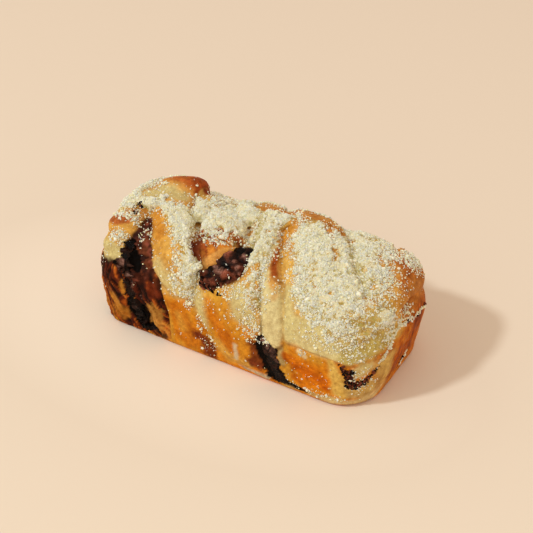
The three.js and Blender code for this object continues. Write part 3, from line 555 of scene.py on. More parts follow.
def core_mesh():
    """The tin-shaped body under the strands."""
    crown = RIM_HEIGHT + DOME_HEIGHT - CORE_BELOW_CROWN
    rings = []
    for turn in np.radians(np.linspace(0, 90, 7)):
        out = BASE_ROUNDING * (1 - np.sin(turn))
        rings.append(plan_ring(WALL_INSET + WALL_FLARE + out, BASE_ROUNDING * (1 - np.cos(turn))))
    for share in np.linspace(0.1, 1, 10):
        z = BASE_ROUNDING + (CORE_EDGE_HEIGHT - BASE_ROUNDING) * share
        rings.append(plan_ring(WALL_INSET + WALL_FLARE * (1 - share), z))
    for turn in np.radians(np.linspace(5, 84, 16)):
        inward = (WIDTH / 2 - 8) * (1 - np.cos(turn) ** 0.8)
        z = CORE_EDGE_HEIGHT + (crown - CORE_EDGE_HEIGHT) * np.sin(turn)
        rings.append(plan_ring(WALL_INSET + inward, z))
    verts = np.vstack([[[0, 0, 0]], *rings, [[0, 0, crown]]])
    return verts, tube_faces(len(rings), len(rings[0]))


def placed(name, data):
    """An object of some mesh, light or camera, in the scene."""
    obj = bpy.data.objects.new(name, data)
    bpy.context.scene.collection.objects.link(obj)
    return obj


def new_object(name, verts, faces):
    mesh = bpy.data.meshes.new(name)
    mesh.from_pydata((verts * MM).tolist(), [], faces)
    mesh.update()
    return placed(name, mesh)


def joined(meshes):
    """Several (verts, faces) as one."""
    verts, faces, start = [], [], 0
    for some_verts, some_faces in meshes:
        verts.append(some_verts)
        faces += [tuple(i + start for i in face) for face in some_faces]
        start += len(some_verts)
    return np.vstack(verts), faces


def fused(name, meshes, voxel, passes):
    """Overlapping closed meshes fused into one even skin, then smoothed."""
    obj = new_object(name, *joined(meshes))
    remesh = obj.modifiers.new("fuse", "REMESH")
    remesh.mode = "VOXEL"
    remesh.voxel_size = voxel * MM
    soften = obj.modifiers.new("soften", "SMOOTH")
    soften.factor = 0.5
    soften.iterations = passes
    shaped = bpy.data.meshes.new_from_object(obj.evaluated_get(bpy.context.evaluated_depsgraph_get()))
    old = obj.data
    obj.modifiers.clear()
    obj.data = shaped
    shaped.name = name
    bpy.data.meshes.remove(old)
    return obj


def vectors_of(obj, what):
    flat = np.empty(len(obj.data.vertices) * 3, np.float32)
    obj.data.vertices.foreach_get(what, flat)
    return flat.reshape(-1, 3).astype(float)


def points_of(obj):
    return vectors_of(obj, "co") / MM


def normals_of(obj):
    return vectors_of(obj, "normal")


def set_points(obj, points):
    obj.data.vertices.foreach_set("co", (points * MM).astype(np.float32).ravel())
    obj.data.update()


def paint(obj, colours):
    """Stores a colour on each point."""
    tint = obj.data.attributes.new("tint", "FLOAT_COLOR", "POINT")
    rgba = np.ones((len(colours), 4), np.float32)
    rgba[:, :3] = np.clip(colours, 0, 1)
    tint.data.foreach_set("color", rgba.ravel())


def shade_smooth(obj):
    obj.data.polygons.foreach_set("use_smooth", np.ones(len(obj.data.polygons), bool))
    obj.data.update()


def blend(base, colour, share):
    return base + (np.asarray(colour) - base) * np.clip(share, 0, 1)[:, None]


def painted(tint, layers):
    """Colours laid over a tint one after another, each with its share."""
    for colour, share in layers:
        tint = blend(tint, colour, share)
    return tint


def finished(obj, points, tint):
    """Moves and paints an object's points and smooths its faces, and gives a search tree over them."""
    set_points(obj, points)
    paint(obj, tint)
    shade_smooth(obj)
    return BVHTree.FromPolygons((points * MM).tolist(), [tuple(p.vertices) for p in obj.data.polygons])


# The dough


def lump_local(points, spec):
    """Points as shares of a lump's two half spans and as heights, and the lump's outward direction."""
    centre, along, over, out = (v[0] for v in smooth_frame([spec["x"]], [spec["t"]]))
    c, s = math.cos(math.radians(spec["turn"])), math.sin(math.radians(spec["turn"]))
    first = along * c + over * s
    second = over * c - along * s
    off = points - centre
    return off @ first / spec["half"][0], off @ second / spec["half"][1], off @ out, out


def hollow_pocket(points):
    """Presses the pocket's rounded hollow into the surface."""
    a, b, h, out = lump_local(points, POCKET)
    inside = 1 - a ** 2 - b ** 2
    floor = POCKET["depth"] - POCKET["half"][2] * np.sqrt(np.maximum(inside, 0))
    deeper = (inside > 0) & (h > floor) & (h < POCKET_REACH)
    return points + out * np.where(deeper, floor - h, 0)[:, None]


def spine_distance(points, strand, lift_share=0.5):
    """Distance to a strand's middle line."""
    rows = knots_at(strand["knots"], np.linspace(0, 1, 60))
    spine = raised(rows[:, 1], rows[:, 0], rows[:, 3] - strand["drop"] * lift_share)
    return np.min(np.linalg.norm(points[:, None, :] - spine[None, :, :], axis=2), axis=1)


bodies = [core_mesh()] + [strand_mesh(strand) for strand in STRANDS.values()]
dough = fused("dough_loaf", bodies, ROUGH_VOXEL, 2)
first_skin = hollow_pocket(points_of(dough))
set_points(dough, first_skin)
skin = [(first_skin, [tuple(p.vertices) for p in dough.data.polygons]), lump_mesh(POCKET_FLAP)]
bpy.data.objects.remove(dough)
dough = fused("dough_loaf", skin, VOXEL, 2)

points = points_of(dough)
normals = normals_of(dough)
x, t = unroll(points)
_, y, z = points.T
flat = smooth_point(x, t)


def drawn_out(run):
    """Twelve rows for each of a run's, evenly between them."""
    rows = np.array(run, float)
    place = np.linspace(0, len(rows) - 1, 12 * len(rows))
    return np.stack([np.interp(place, np.arange(len(rows)), column) for column in rows.T], -1)


def run_distance(run, at):
    """Distance of points beyond the edge of a run over the loaf; knots hold place, angle, half width."""
    rows = drawn_out(run)
    middle = smooth_point(rows[:, 0], rows[:, 1])
    best = np.full(len(at), 1e9)
    for centre, half in zip(middle, rows[:, 2]):
        best = np.minimum(best, np.linalg.norm(at - centre, axis=1) - half)
    return best


def run_mask(run, at, uneven, soft, ragged):
    """1 inside a run, fading over soft, with an edge as uneven as the noise given."""
    return smooth(soft, -soft, run_distance(run, at) + ragged * uneven)


def nearest_run(runs, at):
    """Distance of points beyond the edge of the nearest of several runs."""
    return np.min([run_distance(run, at) for run in runs], axis=0)


def torn_share(at):
    """1 on the torn face at the left end, 0 away from it."""
    return smooth(1.2, -1.2, nearest_run(TORN_FACE, at) + 1.5 * rough_noise(at, 6, 30))


def crease_depth(at, width):
    """How far the creases between strands press the surface in."""
    depth = np.zeros(len(at))
    for run, most in CREASES:
        depth = np.maximum(depth, most * np.exp(-(np.maximum(run_distance(run, at), 0) / width) ** 2))
    return depth


def mark_layers(marks):
    """Colour and share on the crust of each of a table's marks."""
    for run, colour, strength, soft, ragged in marks:
        yield colour, strength * run_mask(run, flat, fine, soft, ragged)


# Relief: soft unevenness all over, drawn-out ridges on the torn left face, creases between strands
wall_fade = 9 + 9 * smooth(-10, 10, y)
wall = 1 - smooth(2, wall_fade, z - CORE_EDGE_HEIGHT + 5 * rough_noise(points, 14, 37))
torn = np.maximum(torn_share(flat), smooth(-88, -96, x) * smooth(25, 15, t) * smooth(-18, -30, y))
slant = np.stack([x + 0.5 * z - y + 4 * rough_noise(points, 15, 36), 0.22 * z, 0.2 * y], -1)
streaks = 0.7 * rough_noise(slant, 4.5, 31) + 0.6 * bumps(slant, 1.7, 32)
uneven = rough_noise(points, 4, 33)
black = np.zeros(len(flat))
for run, soft, ragged in CHOCOLATE_RUNS:
    black = np.maximum(black, run_mask(run, flat, uneven, soft, ragged))
relief = 0.5 * rough_noise(flat, 16, 1) + 0.14 * rough_noise(points, 4, 2)
relief += torn * (2.2 * streaks - 1.1)
relief += 0.9 * run_mask(HOLLOW, flat, uneven, 1.2, 2) * rough_noise(points, 4, 50)
relief += black * (1.2 * rough_noise(points, 8, 35) - 0.5)
relief -= crease_depth(flat, 1.3)
relief *= smooth(0, 4, z)
points = points + normals * relief[:, None]
points[:, 2] = np.maximum(points[:, 2], 0)
points[:, 1] += MOVE_BACK
loaf_points = points - np.array((0, MOVE_BACK, 0))

# Colour of the crust: a golden dome, an orange wall in upright bands, then each mark
patch = rough_noise(loaf_points, 22, 40)
fine = rough_noise(loaf_points, 4.5, 41)
bands = rough_noise(loaf_points * (1, 1, 0.18), 8, 44)
tint = np.tile(np.array(GOLDEN), (len(points), 1))
tint = painted(tint, [
    (BROWN, smooth(70, 110, t) * smooth(200, 170, t) * (0.5 + 0.4 * patch)),
    (ORANGE, wall),
    (DEEP_ORANGE, wall * smooth(0, 0.5, bands + 0.3 * fine)),
    (YELLOW, wall * smooth(0.1, 0.6, -bands) * 0.9),
])
tint = painted(tint, mark_layers(MARKS))

# The two ends: upright streaks below the rim, brown above it, a golden strip by the right front corner
by_end = smooth(101, 106, np.abs(points[:, 0]))
end_wall = by_end * wall
end_streaks = rough_noise(loaf_points * (1, 1, 0.22), 7, 46) + 0.35 * fine
by_corner = smooth(46, 38, z) * smooth(-12, -22, points[:, 1] + 6 * fine) * (x > 0)
tint = painted(tint, [
    (END_BROWN, by_end * (1 - wall) * smooth(60, 90, t) * 0.8),
    (END_WALL, end_wall),
    (END_DARK, end_wall * smooth(0.08, 0.36, end_streaks)),
    (END_LIGHT, end_wall * smooth(0.12, 0.42, -end_streaks)),
    (CORNER_GOLD, by_end * by_corner),
])

# The knuckle: brown above, golden below
knuckle = spine_distance(loaf_points, STRANDS["brown_knuckle"])
knuckle = smooth(13, 9, knuckle) * smooth(99, 104, t + 2 * fine)
small = smooth(7, 5, spine_distance(loaf_points, STRANDS["small_knuckle"]))
tint = painted(tint, [
    (KNUCKLE_GOLD, knuckle),
    (KNUCKLE_BROWN, knuckle * smooth(101, 106, t + 3 * fine)),
    (STREAK_RED, knuckle * smooth(-72, -60, x + 10 * fine) * smooth(102, 106, t)),
    (SMALL_KNUCKLE_GOLD, small),
    (RED_BROWN, small * smooth(108, 112, t)),
])

# The torn left face: stained layers with lighter streaks, more of them low and to the right. The streaks
# follow its raised ridges: gold on them, partly the dough's own and partly painted highlight, and black in
# the grooves, partly the dough's own dark and partly painted shade
fibre = streaks + 0.28 * smooth(6, -26, t) + 0.12 * smooth(-80, -52, x) - 0.29
tint = painted(tint, [
    (TORN_STAIN, torn),
    (TORN_RED, torn * smooth(0.10, 0.24, fibre)),
    (TORN_GOLD_AND_HIGHLIGHT, torn * smooth(0.34, 0.48, fibre)),
    (TORN_BLACK_AND_SHADE, torn * smooth(-0.12, -0.30, fibre)),
])
tint = painted(tint, mark_layers(LEFT_MARKS))
# The hollow under the strand follows its pebbly bumps: red-brown on them, partly painted highlight, and black
# in the dips, partly painted shade
hollow = run_mask(HOLLOW, flat, fine, 1.2, 2) * torn
pebbly = rough_noise(loaf_points, 4, 50)
tint = painted(tint, [
    (HOLLOW_RED_AND_HIGHLIGHT, hollow * smooth(0.18, 0.5, pebbly)),
    (HOLLOW_BLACK_AND_SHADE, hollow * smooth(-0.08, -0.35, pebbly)),
])

# The pocket: stained walls, and the flap's tan face with its red-brown left side, darkened further with
# painted shade. Then the chocolate runs.
pa, pb, ph, _ = lump_local(loaf_points, POCKET)
in_pocket = smooth(1.05, 0.85, np.sqrt(pa ** 2 + pb ** 2)) * (ph < 3) * (ph > -16)
fa, fb, fh, _ = lump_local(loaf_points, POCKET_FLAP)
on_flap = smooth(1.2, 0.95, np.sqrt(fa ** 2 + fb ** 2)) * (fh > -12) * (fh < 4)
flap_streaks = rough_noise(np.stack([fa * 26 + 5 * fb, fb * 5, 0 * fa], -1), 4, 48)
ca, cb, _, _ = lump_local(loaf_points, POCKET_FILLING)
cut_edge = on_flap * smooth(1.3, 1.12, np.hypot(ca, cb) + 0.1 * fine) * smooth(-0.5, -0.1, ca + cb)
tint = painted(tint, [
    (RED_BROWN, in_pocket * 0.8),
    (FLAP_ORANGE, on_flap),
    (FLAP_STREAK, on_flap * smooth(0.05, 0.45, flap_streaks + 0.3 * smooth(0.1, 0.9, fb))),
    (FLAP_DARK_AND_SHADE, on_flap * smooth(-0.15, -0.6, fa + 0.4 * flap_streaks)),
    (FLAP_EDGE, 0.55 * cut_edge),
    (DARK_STAIN_AND_SHADE, in_pocket * (1 - on_flap) * 0.8),
    (BURNT, smooth(0.35, 0.75, black)),
    (DARK_STAIN_AND_SHADE, smooth(0.05, 0.4, black) * (1 - smooth(0.35, 0.75, black)) * 0.8),
])

# Grain and freckles over all of it: how far red, green and blue vary
GRAIN_TINT = (0.32, 0.46, 0.60)
FRECKLE_TINT = (0.14, 0.26, 0.36)
dark = smooth(0.25, 0.05, tint[:, 1])
freckles = smooth(0.45, 0.75, rough_noise(loaf_points, 2.6, 45)) * (1 - dark)
grain = rough_noise(loaf_points, 2.4, 43)
lively = (0.6 * fine + 0.6 * grain + 0.6 * wall * bands) * (1 - 0.6 * smooth(0.33, 0.46, tint[:, 1]))
tint *= 1 + lively[:, None] * GRAIN_TINT
tint *= (1 + 0.35 * dark * grain)[:, None]
tint *= 1 - freckles[:, None] * FRECKLE_TINT
crust_tint = tint
dough_tree = finished(dough, points, tint)

# The filling


def exposure(edge, place):
    """How far each edge of the ribbon shows at a place along the length, and its extra half thickness."""
    share = np.zeros_like(place)
    extra = np.zeros_like(place)
    for side, start, end, thicker in EXPOSED:
        here = window(place, start, end, EXPOSED_FADE)
        better = (side == edge) & (here > share)
        share = np.where(better, here, share)
        extra = np.where(better, thicker, extra)
    return share, extra


def ribbon_mesh(steps=260, across=48):
    """The turning ribbon, thicker and rough where its edge comes out between the strands."""
    places = np.array([k[0] for k in RIBBON_KNOTS], float)
    angles = np.array([k[1] for k in RIBBON_KNOTS], float)
    stations = np.linspace(places[0], places[-1], steps)
    px, share = np.meshgrid(stations, np.linspace(-1, 1, across), indexing="ij")
    edge = np.where(share < 0, -1, 1)

    def middle(place, part):
        degrees = np.interp(place, places, angles) + np.where(edge < 0, 180, 0)
        degrees = np.mod(degrees, 360)
        outer = smooth_point(place, np.where(degrees > 270, degrees - 360, degrees))
        axis = np.stack([place, 0 * place, RIM_HEIGHT + 0 * place], -1)
        radius = np.linalg.norm(outer - axis, axis=-1)
        shown, _ = exposure(edge, place)
        reach = (radius - RIBBON_BURIED) / radius * (1 - shown) + shown
        return axis + (outer - axis) * (reach * np.abs(part))[..., None]

    step = 0.02
    along = middle(px + step, share) - middle(px - step, share)
    out = middle(px, share + step * edge) - middle(px, share)
    normal = unit(np.cross(along, out * edge[..., None]))
    shown, extra = exposure(edge, px)
    centre = middle(px, share)
    uneven = 1 + 0.45 * rough_noise(centre.reshape(-1, 3), 9, 61).reshape(px.shape)
    half = RIBBON_HALF + extra * shown * np.abs(share) ** 3 * uneven
    top = centre + normal * half[..., None]
    under = centre - normal * half[..., None]
    index = np.arange(steps * across).reshape(steps, across)
    other = index + steps * across
    faces = []
    for i in range(steps - 1):
        for j in range(across - 1):
            faces.append((index[i, j], index[i + 1, j], index[i + 1, j + 1], index[i, j + 1]))
            faces.append((other[i, j], other[i, j + 1], other[i + 1, j + 1], other[i + 1, j]))
    for i in range(steps - 1):
        faces.append((index[i, 0], other[i, 0], other[i + 1, 0], index[i + 1, 0]))
        faces.append((index[i, -1], index[i + 1, -1], other[i + 1, -1], other[i, -1]))
    for j in range(across - 1):
        faces.append((index[0, j], index[0, j + 1], other[0, j + 1], other[0, j]))
        faces.append((index[-1, j], other[-1, j], other[-1, j + 1], index[-1, j + 1]))
    faces = [tuple(int(v) for v in face) for face in faces]
    return np.vstack([top.reshape(-1, 3), under.reshape(-1, 3)]), faces


filling = fused("filling_chocolate", [ribbon_mesh(), lump_mesh(POCKET_FILLING)], VOXEL, 1)
points = points_of(filling)
normals = normals_of(filling)
relief = 2.6 * (np.abs(bumps(points, 6.5, 71)) - 0.4) + 2.0 * (np.abs(bumps(points, 3.0, 72)) - 0.3)
points = points + normals * relief[:, None]
shade = rough_noise(points, 7, 73)
pa, pb, _, _ = lump_local(points, POCKET_FILLING)
from_middle = np.sqrt(pa ** 2 + pb ** 2)
pocket_part = smooth(1.3, 1.0, from_middle) * smooth(0.6, 0.2, pa)
# Painted highlights on the chocolate's crests, stronger higher up, then red chocolate in the pocket
highlight_height = 0.2 + 0.8 * smooth(18, 40, points[:, 2])
low_in_seam = smooth(38, 26, points[:, 2]) * smooth(-48, -58, points[:, 0])
tint = np.tile(np.array(CHOCOLATE), (len(points), 1))
tint = painted(tint, [
    (CHOCOLATE_HIGHLIGHT, highlight_height * smooth(0.3, 1.3, relief + 0.8 * shade)),
    (CHOCOLATE_RED, (0.1 + 0.7 * pocket_part) * smooth(-0.4, 0.4, shade)),
])
# Lighter on the bumps and darker in the dips: painted highlight and painted shade
tint *= (1 + 0.7 * smooth(0, 1.2, relief) - 0.8 * smooth(0, -1.0, relief))[:, None]
tint *= (1 - 0.65 * low_in_seam)[:, None]
points[:, 1] += MOVE_BACK
points[:, 2] = np.maximum(points[:, 2], 0.3)

# Away from the pocket the filling stays under the crust, apart from where it shows
loose = from_middle > 1.15
for k in np.flatnonzero(loose):
    near, out, face, _ = dough_tree.find_nearest(Vector(points[k] * MM))
    above = (Vector(points[k] * MM) - near).dot(out) / MM
    corner = dough.data.polygons[face].vertices[0]
    most = -1.2 + 1.6 * black[corner] + 0.3 * shade[k]
    if above > most:
        points[k] -= np.array(out) * (above - most)
filling_tree = finished(filling, points, tint)

# The crumb topping

rng = np.random.default_rng(20)

# Places on the beds that crumbs leave bare, as runs
BARE_RUNS = [
    [(14, 97, 2), (17, 84, 1), (22, 72, 1.2), (28, 66, 3.5), (33, 61, 3.5), (34, 50, 2), (39, 42, 2)],
    [(6, 119, 4), (20, 115, 5), (32, 114, 5), (45, 111, 4), (55, 105, 2)],
    [(41, 103, 0.8), (47, 95, -4), (52, 89, -3), (58, 82, 0.4)],
    [(95, 20, 3), (102, 26, 5), (105, 38, 3)],
    [(101, 106, 3.5), (105, 96, 5), (105, 118, 4)],
    [(-75, 70, 3), (-68, 60, 5), (-60, 48, 6.5), (-55, 38, 7), (-53, 28, 5)],
    [(-90, 89, 5), (-78, 93, 8), (-66, 96, 7)],
    [(-84, 112, 11), (-71, 113, 12), (-61, 112, 7), (-50, 112, 2)],
    [(-14, 118, 6), (-4, 116, 6), (8, 116, 6)],
    [(2, 36, 3), (8, 28, 3), (10, 20, 4)],
    [(11, 58, 1.5), (6, 47, 2.5), (1, 38, 2.5)],
    [(-29, 71, 0.5), (-23, 73, 0.5)],
    [(-35, 60, 3), (-24, 57, 4), (-15, 61, 3)],
]

# Fringes where the crumbs lie apart and the crust shows between them, as runs
SPARSE_RUNS = [
    [(-37, 67, 2.5), (-24, 65, 3.5), (-12, 71, 2.5)],
    [(-47, 48, 4), (-42, 34, 6), (-36, 18, 7)],
    [(-68, 66, 4), (-57, 54, 5), (-49, 42, 6), (-44, 26, 7)],
    [(86, 42, 3), (94, 51, 4.5), (98, 66, 4)],
    [(-93, 60, 6), (-84, 65, 5)],
    [(5, 46, 5), (11, 30, 8), (18, 14, 6)],
    [(23, 70, 2), (31, 56, 3), (40, 42, 4), (50, 37, 3)],
    [(70, 27, 3), (84, 26, 4), (96, 32, 5), (101, 48, 4)],
    [(101, 70, 3), (99, 92, 4), (96, 110, 5), (94, 126, 7)],
    [(13, 98, 3), (28, 112, 4), (43, 104, 3), (50, 93, -1), (59, 82, 2)],
]

# Lumps of topping
CRUMB_LUMPS = [
    dict(x=-27, t=42, depth=0.5, half=(5, 3.5, 3.5), turn=30),
    dict(x=63, t=32, depth=1.5, half=(2.5, 2, 2), turn=0),
    dict(x=-76, t=87, depth=2.5, half=(5, 3, 2.5), turn=40),
]

# How much more densely clumps fall on the lumps
LUMP_WEIGHT = 30

# Loose bits of chocolate, as runs with their density
CHOCOLATE_CRUMBS = [
    ([(85, 4, 0.3), (90, -5, 2), (93, -20, 3.5), (100, -17, 2.5), (104, -10, 1.2), (106, -1, 0.5)], 0.5),
    ([(-88, 74, 1.5), (-87, 66, 1.5)], 0.3),
    ([(-22, 34, 2), (-14, 29, 1.5), (-6, 28, 1.5)], 0.1),
]

# Places that few crumbs reach, as runs with the share kept off: the flap, the knuckle and the strand below
# it, the crack by the pale fold, the right end, the furrow right of the knob
CLEAN_RUNS = [
    ([(-31, 54, 5), (-22, 50, 7), (-15, 59, 5), (-9, 70, 2)], 0.95),
    ([(-82, 113, 9), (-70, 115, 10), (-60, 114, 8)], 0.65),
    ([(-80, 93, 5), (-68, 95, 5)], 0.6),
    ([(21, 41, 0.7), (25, 22, 0.8), (28, 2, 1)], 0.9),
    ([(98, 111, 2.5), (102, 109, 4), (106, 100, 4)], 0.35),
    ([(1, 66, 1.2), (0, 80, 1.5), (-4, 94, 1.2)], 0.8),
]

# Lines on the right end: place along the length, depth, height, half width, and how many crumbs each has
END_LINES = [
    ([(105, -32, 39, 0.7), (107, -25, 46, 0.7), (106, -11, 52, 1), (107, 4, 49, 1.2), (108, 14, 47, 1),
      (107, 29, 45, 0.6)], 170),
    ([(104, -26, 50, 2), (104, -14, 57, 3), (105, -2, 58, 3), (105, 10, 54, 3)], 200),
    ([(107, 11, 18, 0.6), (106, 6, 13, 0.8), (106, 2, 8, 0.8)], 14),
]
SPECK_LINES = [
    ([(107, 3, 49, 0.7), (107, 5, 48, 0.7)], 9),
    ([(108, 15, 46, 0.7), (108, 17, 45, 0.7)], 9),
    ([(107, 28, 46, 0.5), (107, 29, 44, 0.5)], 9),
    ([(107, 7, 18, 0.3), (106, -2, 9, 0.4)], 9),
]

# How much deeper crumbs lie in a bed, as a share of their size
BED_SINK = 0.4

# Share of the crumbs that stay where they would fall on the filling
ON_FILLING = 0.2

# How far out the search for the surface starts, and the least height of a crumb's points
RAY_START = 25
ABOVE_FLOOR = 0.05

# Spread of a crumb's three spans and of its brightness, how far small ones outnumber large ones, and the
# draw from which a crumb has the rare colour
CRUMB_SPANS = (0.45, 1.6)
CRUMB_SHADES = (0.92, 1.06)
SMALL_POWER = 1.8
RARE_FROM = 0.965

# Extra places where loose crumbs lie: place, angle, half spans and density
CRUMB_PATCHES = [
    (-28, 14, 4, 12, 0.35), (20, 8, 9, 16, 0.16), (66, -34, 24, 5, 0.10), (62, -22, 20, 8, 0.02),
    (58, 2, 4, 4, 0.2), (0, 32, 14, 6, 0.16), (29, -3, 5, 6, 2), (-75, 52, 6, 10, 0.5),
    (-85, 62, 8, 8, 0.12), (-90, 44, 8, 7, 0.4), (-13, -26, 8, 12, 0.06), (-24, 69, 13, 5, 0.6),
    (-7, 84, 3, 12, 0.5), (31, 56, 4, 12, 0.12), (20, 82, 4, 12, 0.2), (94, 122, 8, 16, 0.5),
    (-18, -8, 6, 10, 0.08), (74, 22, 22, 8, 0.14), (95, 14, 8, 10, 0.12), (98, -14, 9, 16, 0.12),
    (100, 86, 6, 22, 0.06), (46, 54, 6, 9, 0.5), (57, 42, 9, 6, 0.4), (40, 64, 4, 8, 0.35),
    (49, 93, 4, 5, 0.5), (86, 36, 9, 8, 0.25),
]
# Density of strays on the top and anywhere
STRAYS = (0.010, 0.002)


def bed_cover(x, degrees):
    """How densely crumbs lie at a place: full on the beds, fading beyond their edges."""
    best = np.zeros_like(x)
    for spec in CRUMB_BEDS:
        rows = knots_at(spec["knots"], np.linspace(0, 1, 80))
        middle = np.interp(degrees, rows[:, 0], rows[:, 1])
        half = np.interp(degrees, rows[:, 0], rows[:, 2])
        off = np.abs(x - middle) - half
        ends = window(degrees, rows[0, 0] + 4, rows[-1, 0] - 4, 9)
        best = np.maximum(best, smooth(4, -4, off) * ends)
    return best


def bare_share(at):
    """How bare the crust is: full on the listed runs and in scattered patches."""
    patches = smooth(0.52, 0.85, rough_noise(at, 7, 91))
    return np.maximum(patches, smooth(3, -1.5, nearest_run(BARE_RUNS, at) + 3.5 * rough_noise(at, 5, 92)))


def sparse_share(at):
    """How far the crumbs lie apart: 1 along the fringes, 0 on the heaps."""
    return smooth(4, -2, nearest_run(SPARSE_RUNS, at) + 2 * rough_noise(at, 6, 84))


beds = [strand_mesh(spec, 50, 40) for spec in CRUMB_BEDS] + [lump_mesh(spec, 12, 20) for spec in CRUMB_LUMPS]
bed = fused("streusel_bed", beds, BED_VOXEL, 2)
points = points_of(bed)
normals = normals_of(bed)
at_bed = smooth_point(*unroll(points))
furrow = 0.75 * crease_depth(at_bed, 2.4)
pits = bumps(points, 2.2, 82)
clump = rough_noise(at_bed, 4, 93)
relief = 0.5 * rough_noise(points, 5.0, 81) + 0.7 * pits + 0.9 * clump - 0.5
points = points + normals * (relief - 4 * bare_share(at_bed) - furrow)[:, None]
points[:, 1] += MOVE_BACK
thickness = np.zeros(len(points))
under = np.zeros((len(points), 3))
for k, point in enumerate(points):
    near, out, face, _ = dough_tree.find_nearest(Vector(point * MM))
    thickness[k] = (Vector(point * MM) - near).dot(out) / MM
    under[k] = crust_tint[dough.data.polygons[face].vertices[0]]
apart = sparse_share(at_bed)
pitted = smooth(-0.3, 0.3, rough_noise(at_bed, 16, 95) + 0.5 * apart)
# Colour of the bed: the crust below shows at the fringes, painted shade darkens it between the crumbs, in its
# pits and along the furrows, and it is cream where it lies thick
tint = painted(under, [
    (CRUMB_PIT_SHADE, 0.55 * (1 - apart)),
    (CRUMB_HEAP, smooth(0.1, 0.9, thickness + 0.8 * clump - 2.4 * apart)),
    (CRUMB_PIT_SHADE, (0.3 + 0.6 * pitted) * smooth(-0.3, -0.7, pits + 0.5 * clump)),
    (CRUMB_PIT_SHADE, 0.28 * furrow),
])
bed_tree = finished(bed, points, tint)

# Crumb density over the loaf, on a grid of one millimetre by one degree
grid_x, grid_t = (g.ravel() for g in np.meshgrid(np.arange(-107.0, 107), np.arange(-36.0, 176)))
at_grid = smooth_point(grid_x, grid_t)
clumped = 0.2 + 0.8 * smooth(-0.2, 0.25, rough_noise(at_grid, 4, 93))
clumped *= 1 - 0.55 * sparse_share(at_grid)
density = bed_cover(grid_x, grid_t) * (1 - 0.93 * bare_share(at_grid)) * clumped
density += STRAYS[0] * window(grid_t, 15, 150, 10) + STRAYS[1]
for px, pt, rx, rt, amount in CRUMB_PATCHES:
    density += amount * smooth(1.2, 0.4, np.hypot((grid_x - px) / rx, (grid_t - pt) / rt))
for run, soft, ragged in CHOCOLATE_RUNS:
    density *= 1 - 0.75 * run_mask(run, at_grid, rough_noise(at_grid, 4, 33), soft, ragged)
density *= 1 - 0.85 * torn_share(at_grid)
for run, share in CLEAN_RUNS:
    density *= 1 - share * run_mask(run, at_grid, 0, 1.5, 0)
density = np.clip(density * (1 - 0.2 * crease_depth(at_grid, 1.8)), 0, 1)


def surface_hits(count, weight, on_filling):
    """Places on the outer surface, drawn by weight, their outward directions, and 1 where that is a bed."""
    cells = rng.choice(len(weight), 2 * count, p=weight / weight.sum())
    xs = grid_x[cells] + rng.uniform(-0.5, 0.5, len(cells))
    ts = grid_t[cells] + rng.uniform(-0.5, 0.5, len(cells))
    centre, _, _, out = smooth_frame(xs, ts)
    centre[:, 1] += MOVE_BACK
    spots, outs, on_bed = [], [], []
    for c, o in zip(centre, out):
        start = Vector((c + o * RAY_START) * MM)
        ray = Vector(-o)
        found = [(tree.ray_cast(start, ray), tree) for tree in (dough_tree, bed_tree, filling_tree)]
        found = [f for f in found if f[0][0] is not None]
        if not found:
            continue
        (place, face_out, _, _), tree = min(found, key=lambda f: f[0][3])
        if tree is filling_tree and rng.random() > on_filling:
            continue
        spots.append(place)
        outs.append(face_out)
        on_bed.append(tree is bed_tree)
        if len(spots) == count:
            break
    return np.array(spots) / MM, np.array(outs), np.array(on_bed, float)


def line_hits(line, count):
    """Places on the dough about a line of solid points, their outward directions, and 0 for no bed."""
    rows = drawn_out(line)
    picked = rows[rng.integers(len(rows), size=count)]
    spots, outs = [], []
    for place in picked[:, :3] + rng.normal(size=(count, 3)) * picked[:, 3:]:
        near, out, _, _ = dough_tree.find_nearest(Vector(place * MM))
        spots.append(near)
        outs.append(out)
    return np.array(spots) / MM, np.array(outs), np.zeros(count)


def all_hits(*parts):
    """Several sets of places as one."""
    return tuple(np.concatenate(column) for column in zip(*parts))


def base_pebble(level):
    """Points and triangles of a pebble: 4 faces at level -1, 8 at level 0, 20 at level 1, 80 at level 2."""
    if level == -1:
        verts = np.array([(1, 1, 1), (1, -1, -1), (-1, 1, -1), (-1, -1, 1)], float) / math.sqrt(3)
        return verts, np.array([(0, 1, 2), (0, 3, 1), (0, 2, 3), (1, 3, 2)])
    if level == 0:
        verts = np.vstack([np.eye(3), -np.eye(3)])
        waist = [(0, 1), (1, 3), (3, 4), (4, 0)]
        return verts, np.array([(a, b, 2) for a, b in waist] + [(b, a, 5) for a, b in waist])
    shape = bmesh.new()
    bmesh.ops.create_icosphere(shape, subdivisions=level, radius=1)
    verts = np.array([v.co for v in shape.verts])
    tris = np.array([[v.index for v in f.verts] for f in shape.faces])
    shape.free()
    return verts, tris


def random_turns(count):
    """Random rotation matrices."""
    q = unit(rng.normal(size=(count, 4)))
    w, a, b, c = q.T
    return np.stack([
        np.stack([1 - 2 * (b * b + c * c), 2 * (a * b - c * w), 2 * (a * c + b * w)], -1),
        np.stack([2 * (a * b + c * w), 1 - 2 * (a * a + c * c), 2 * (b * c - a * w)], -1),
        np.stack([2 * (a * c - b * w), 2 * (b * c + a * w), 1 - 2 * (a * a + b * b)], -1)], 1)


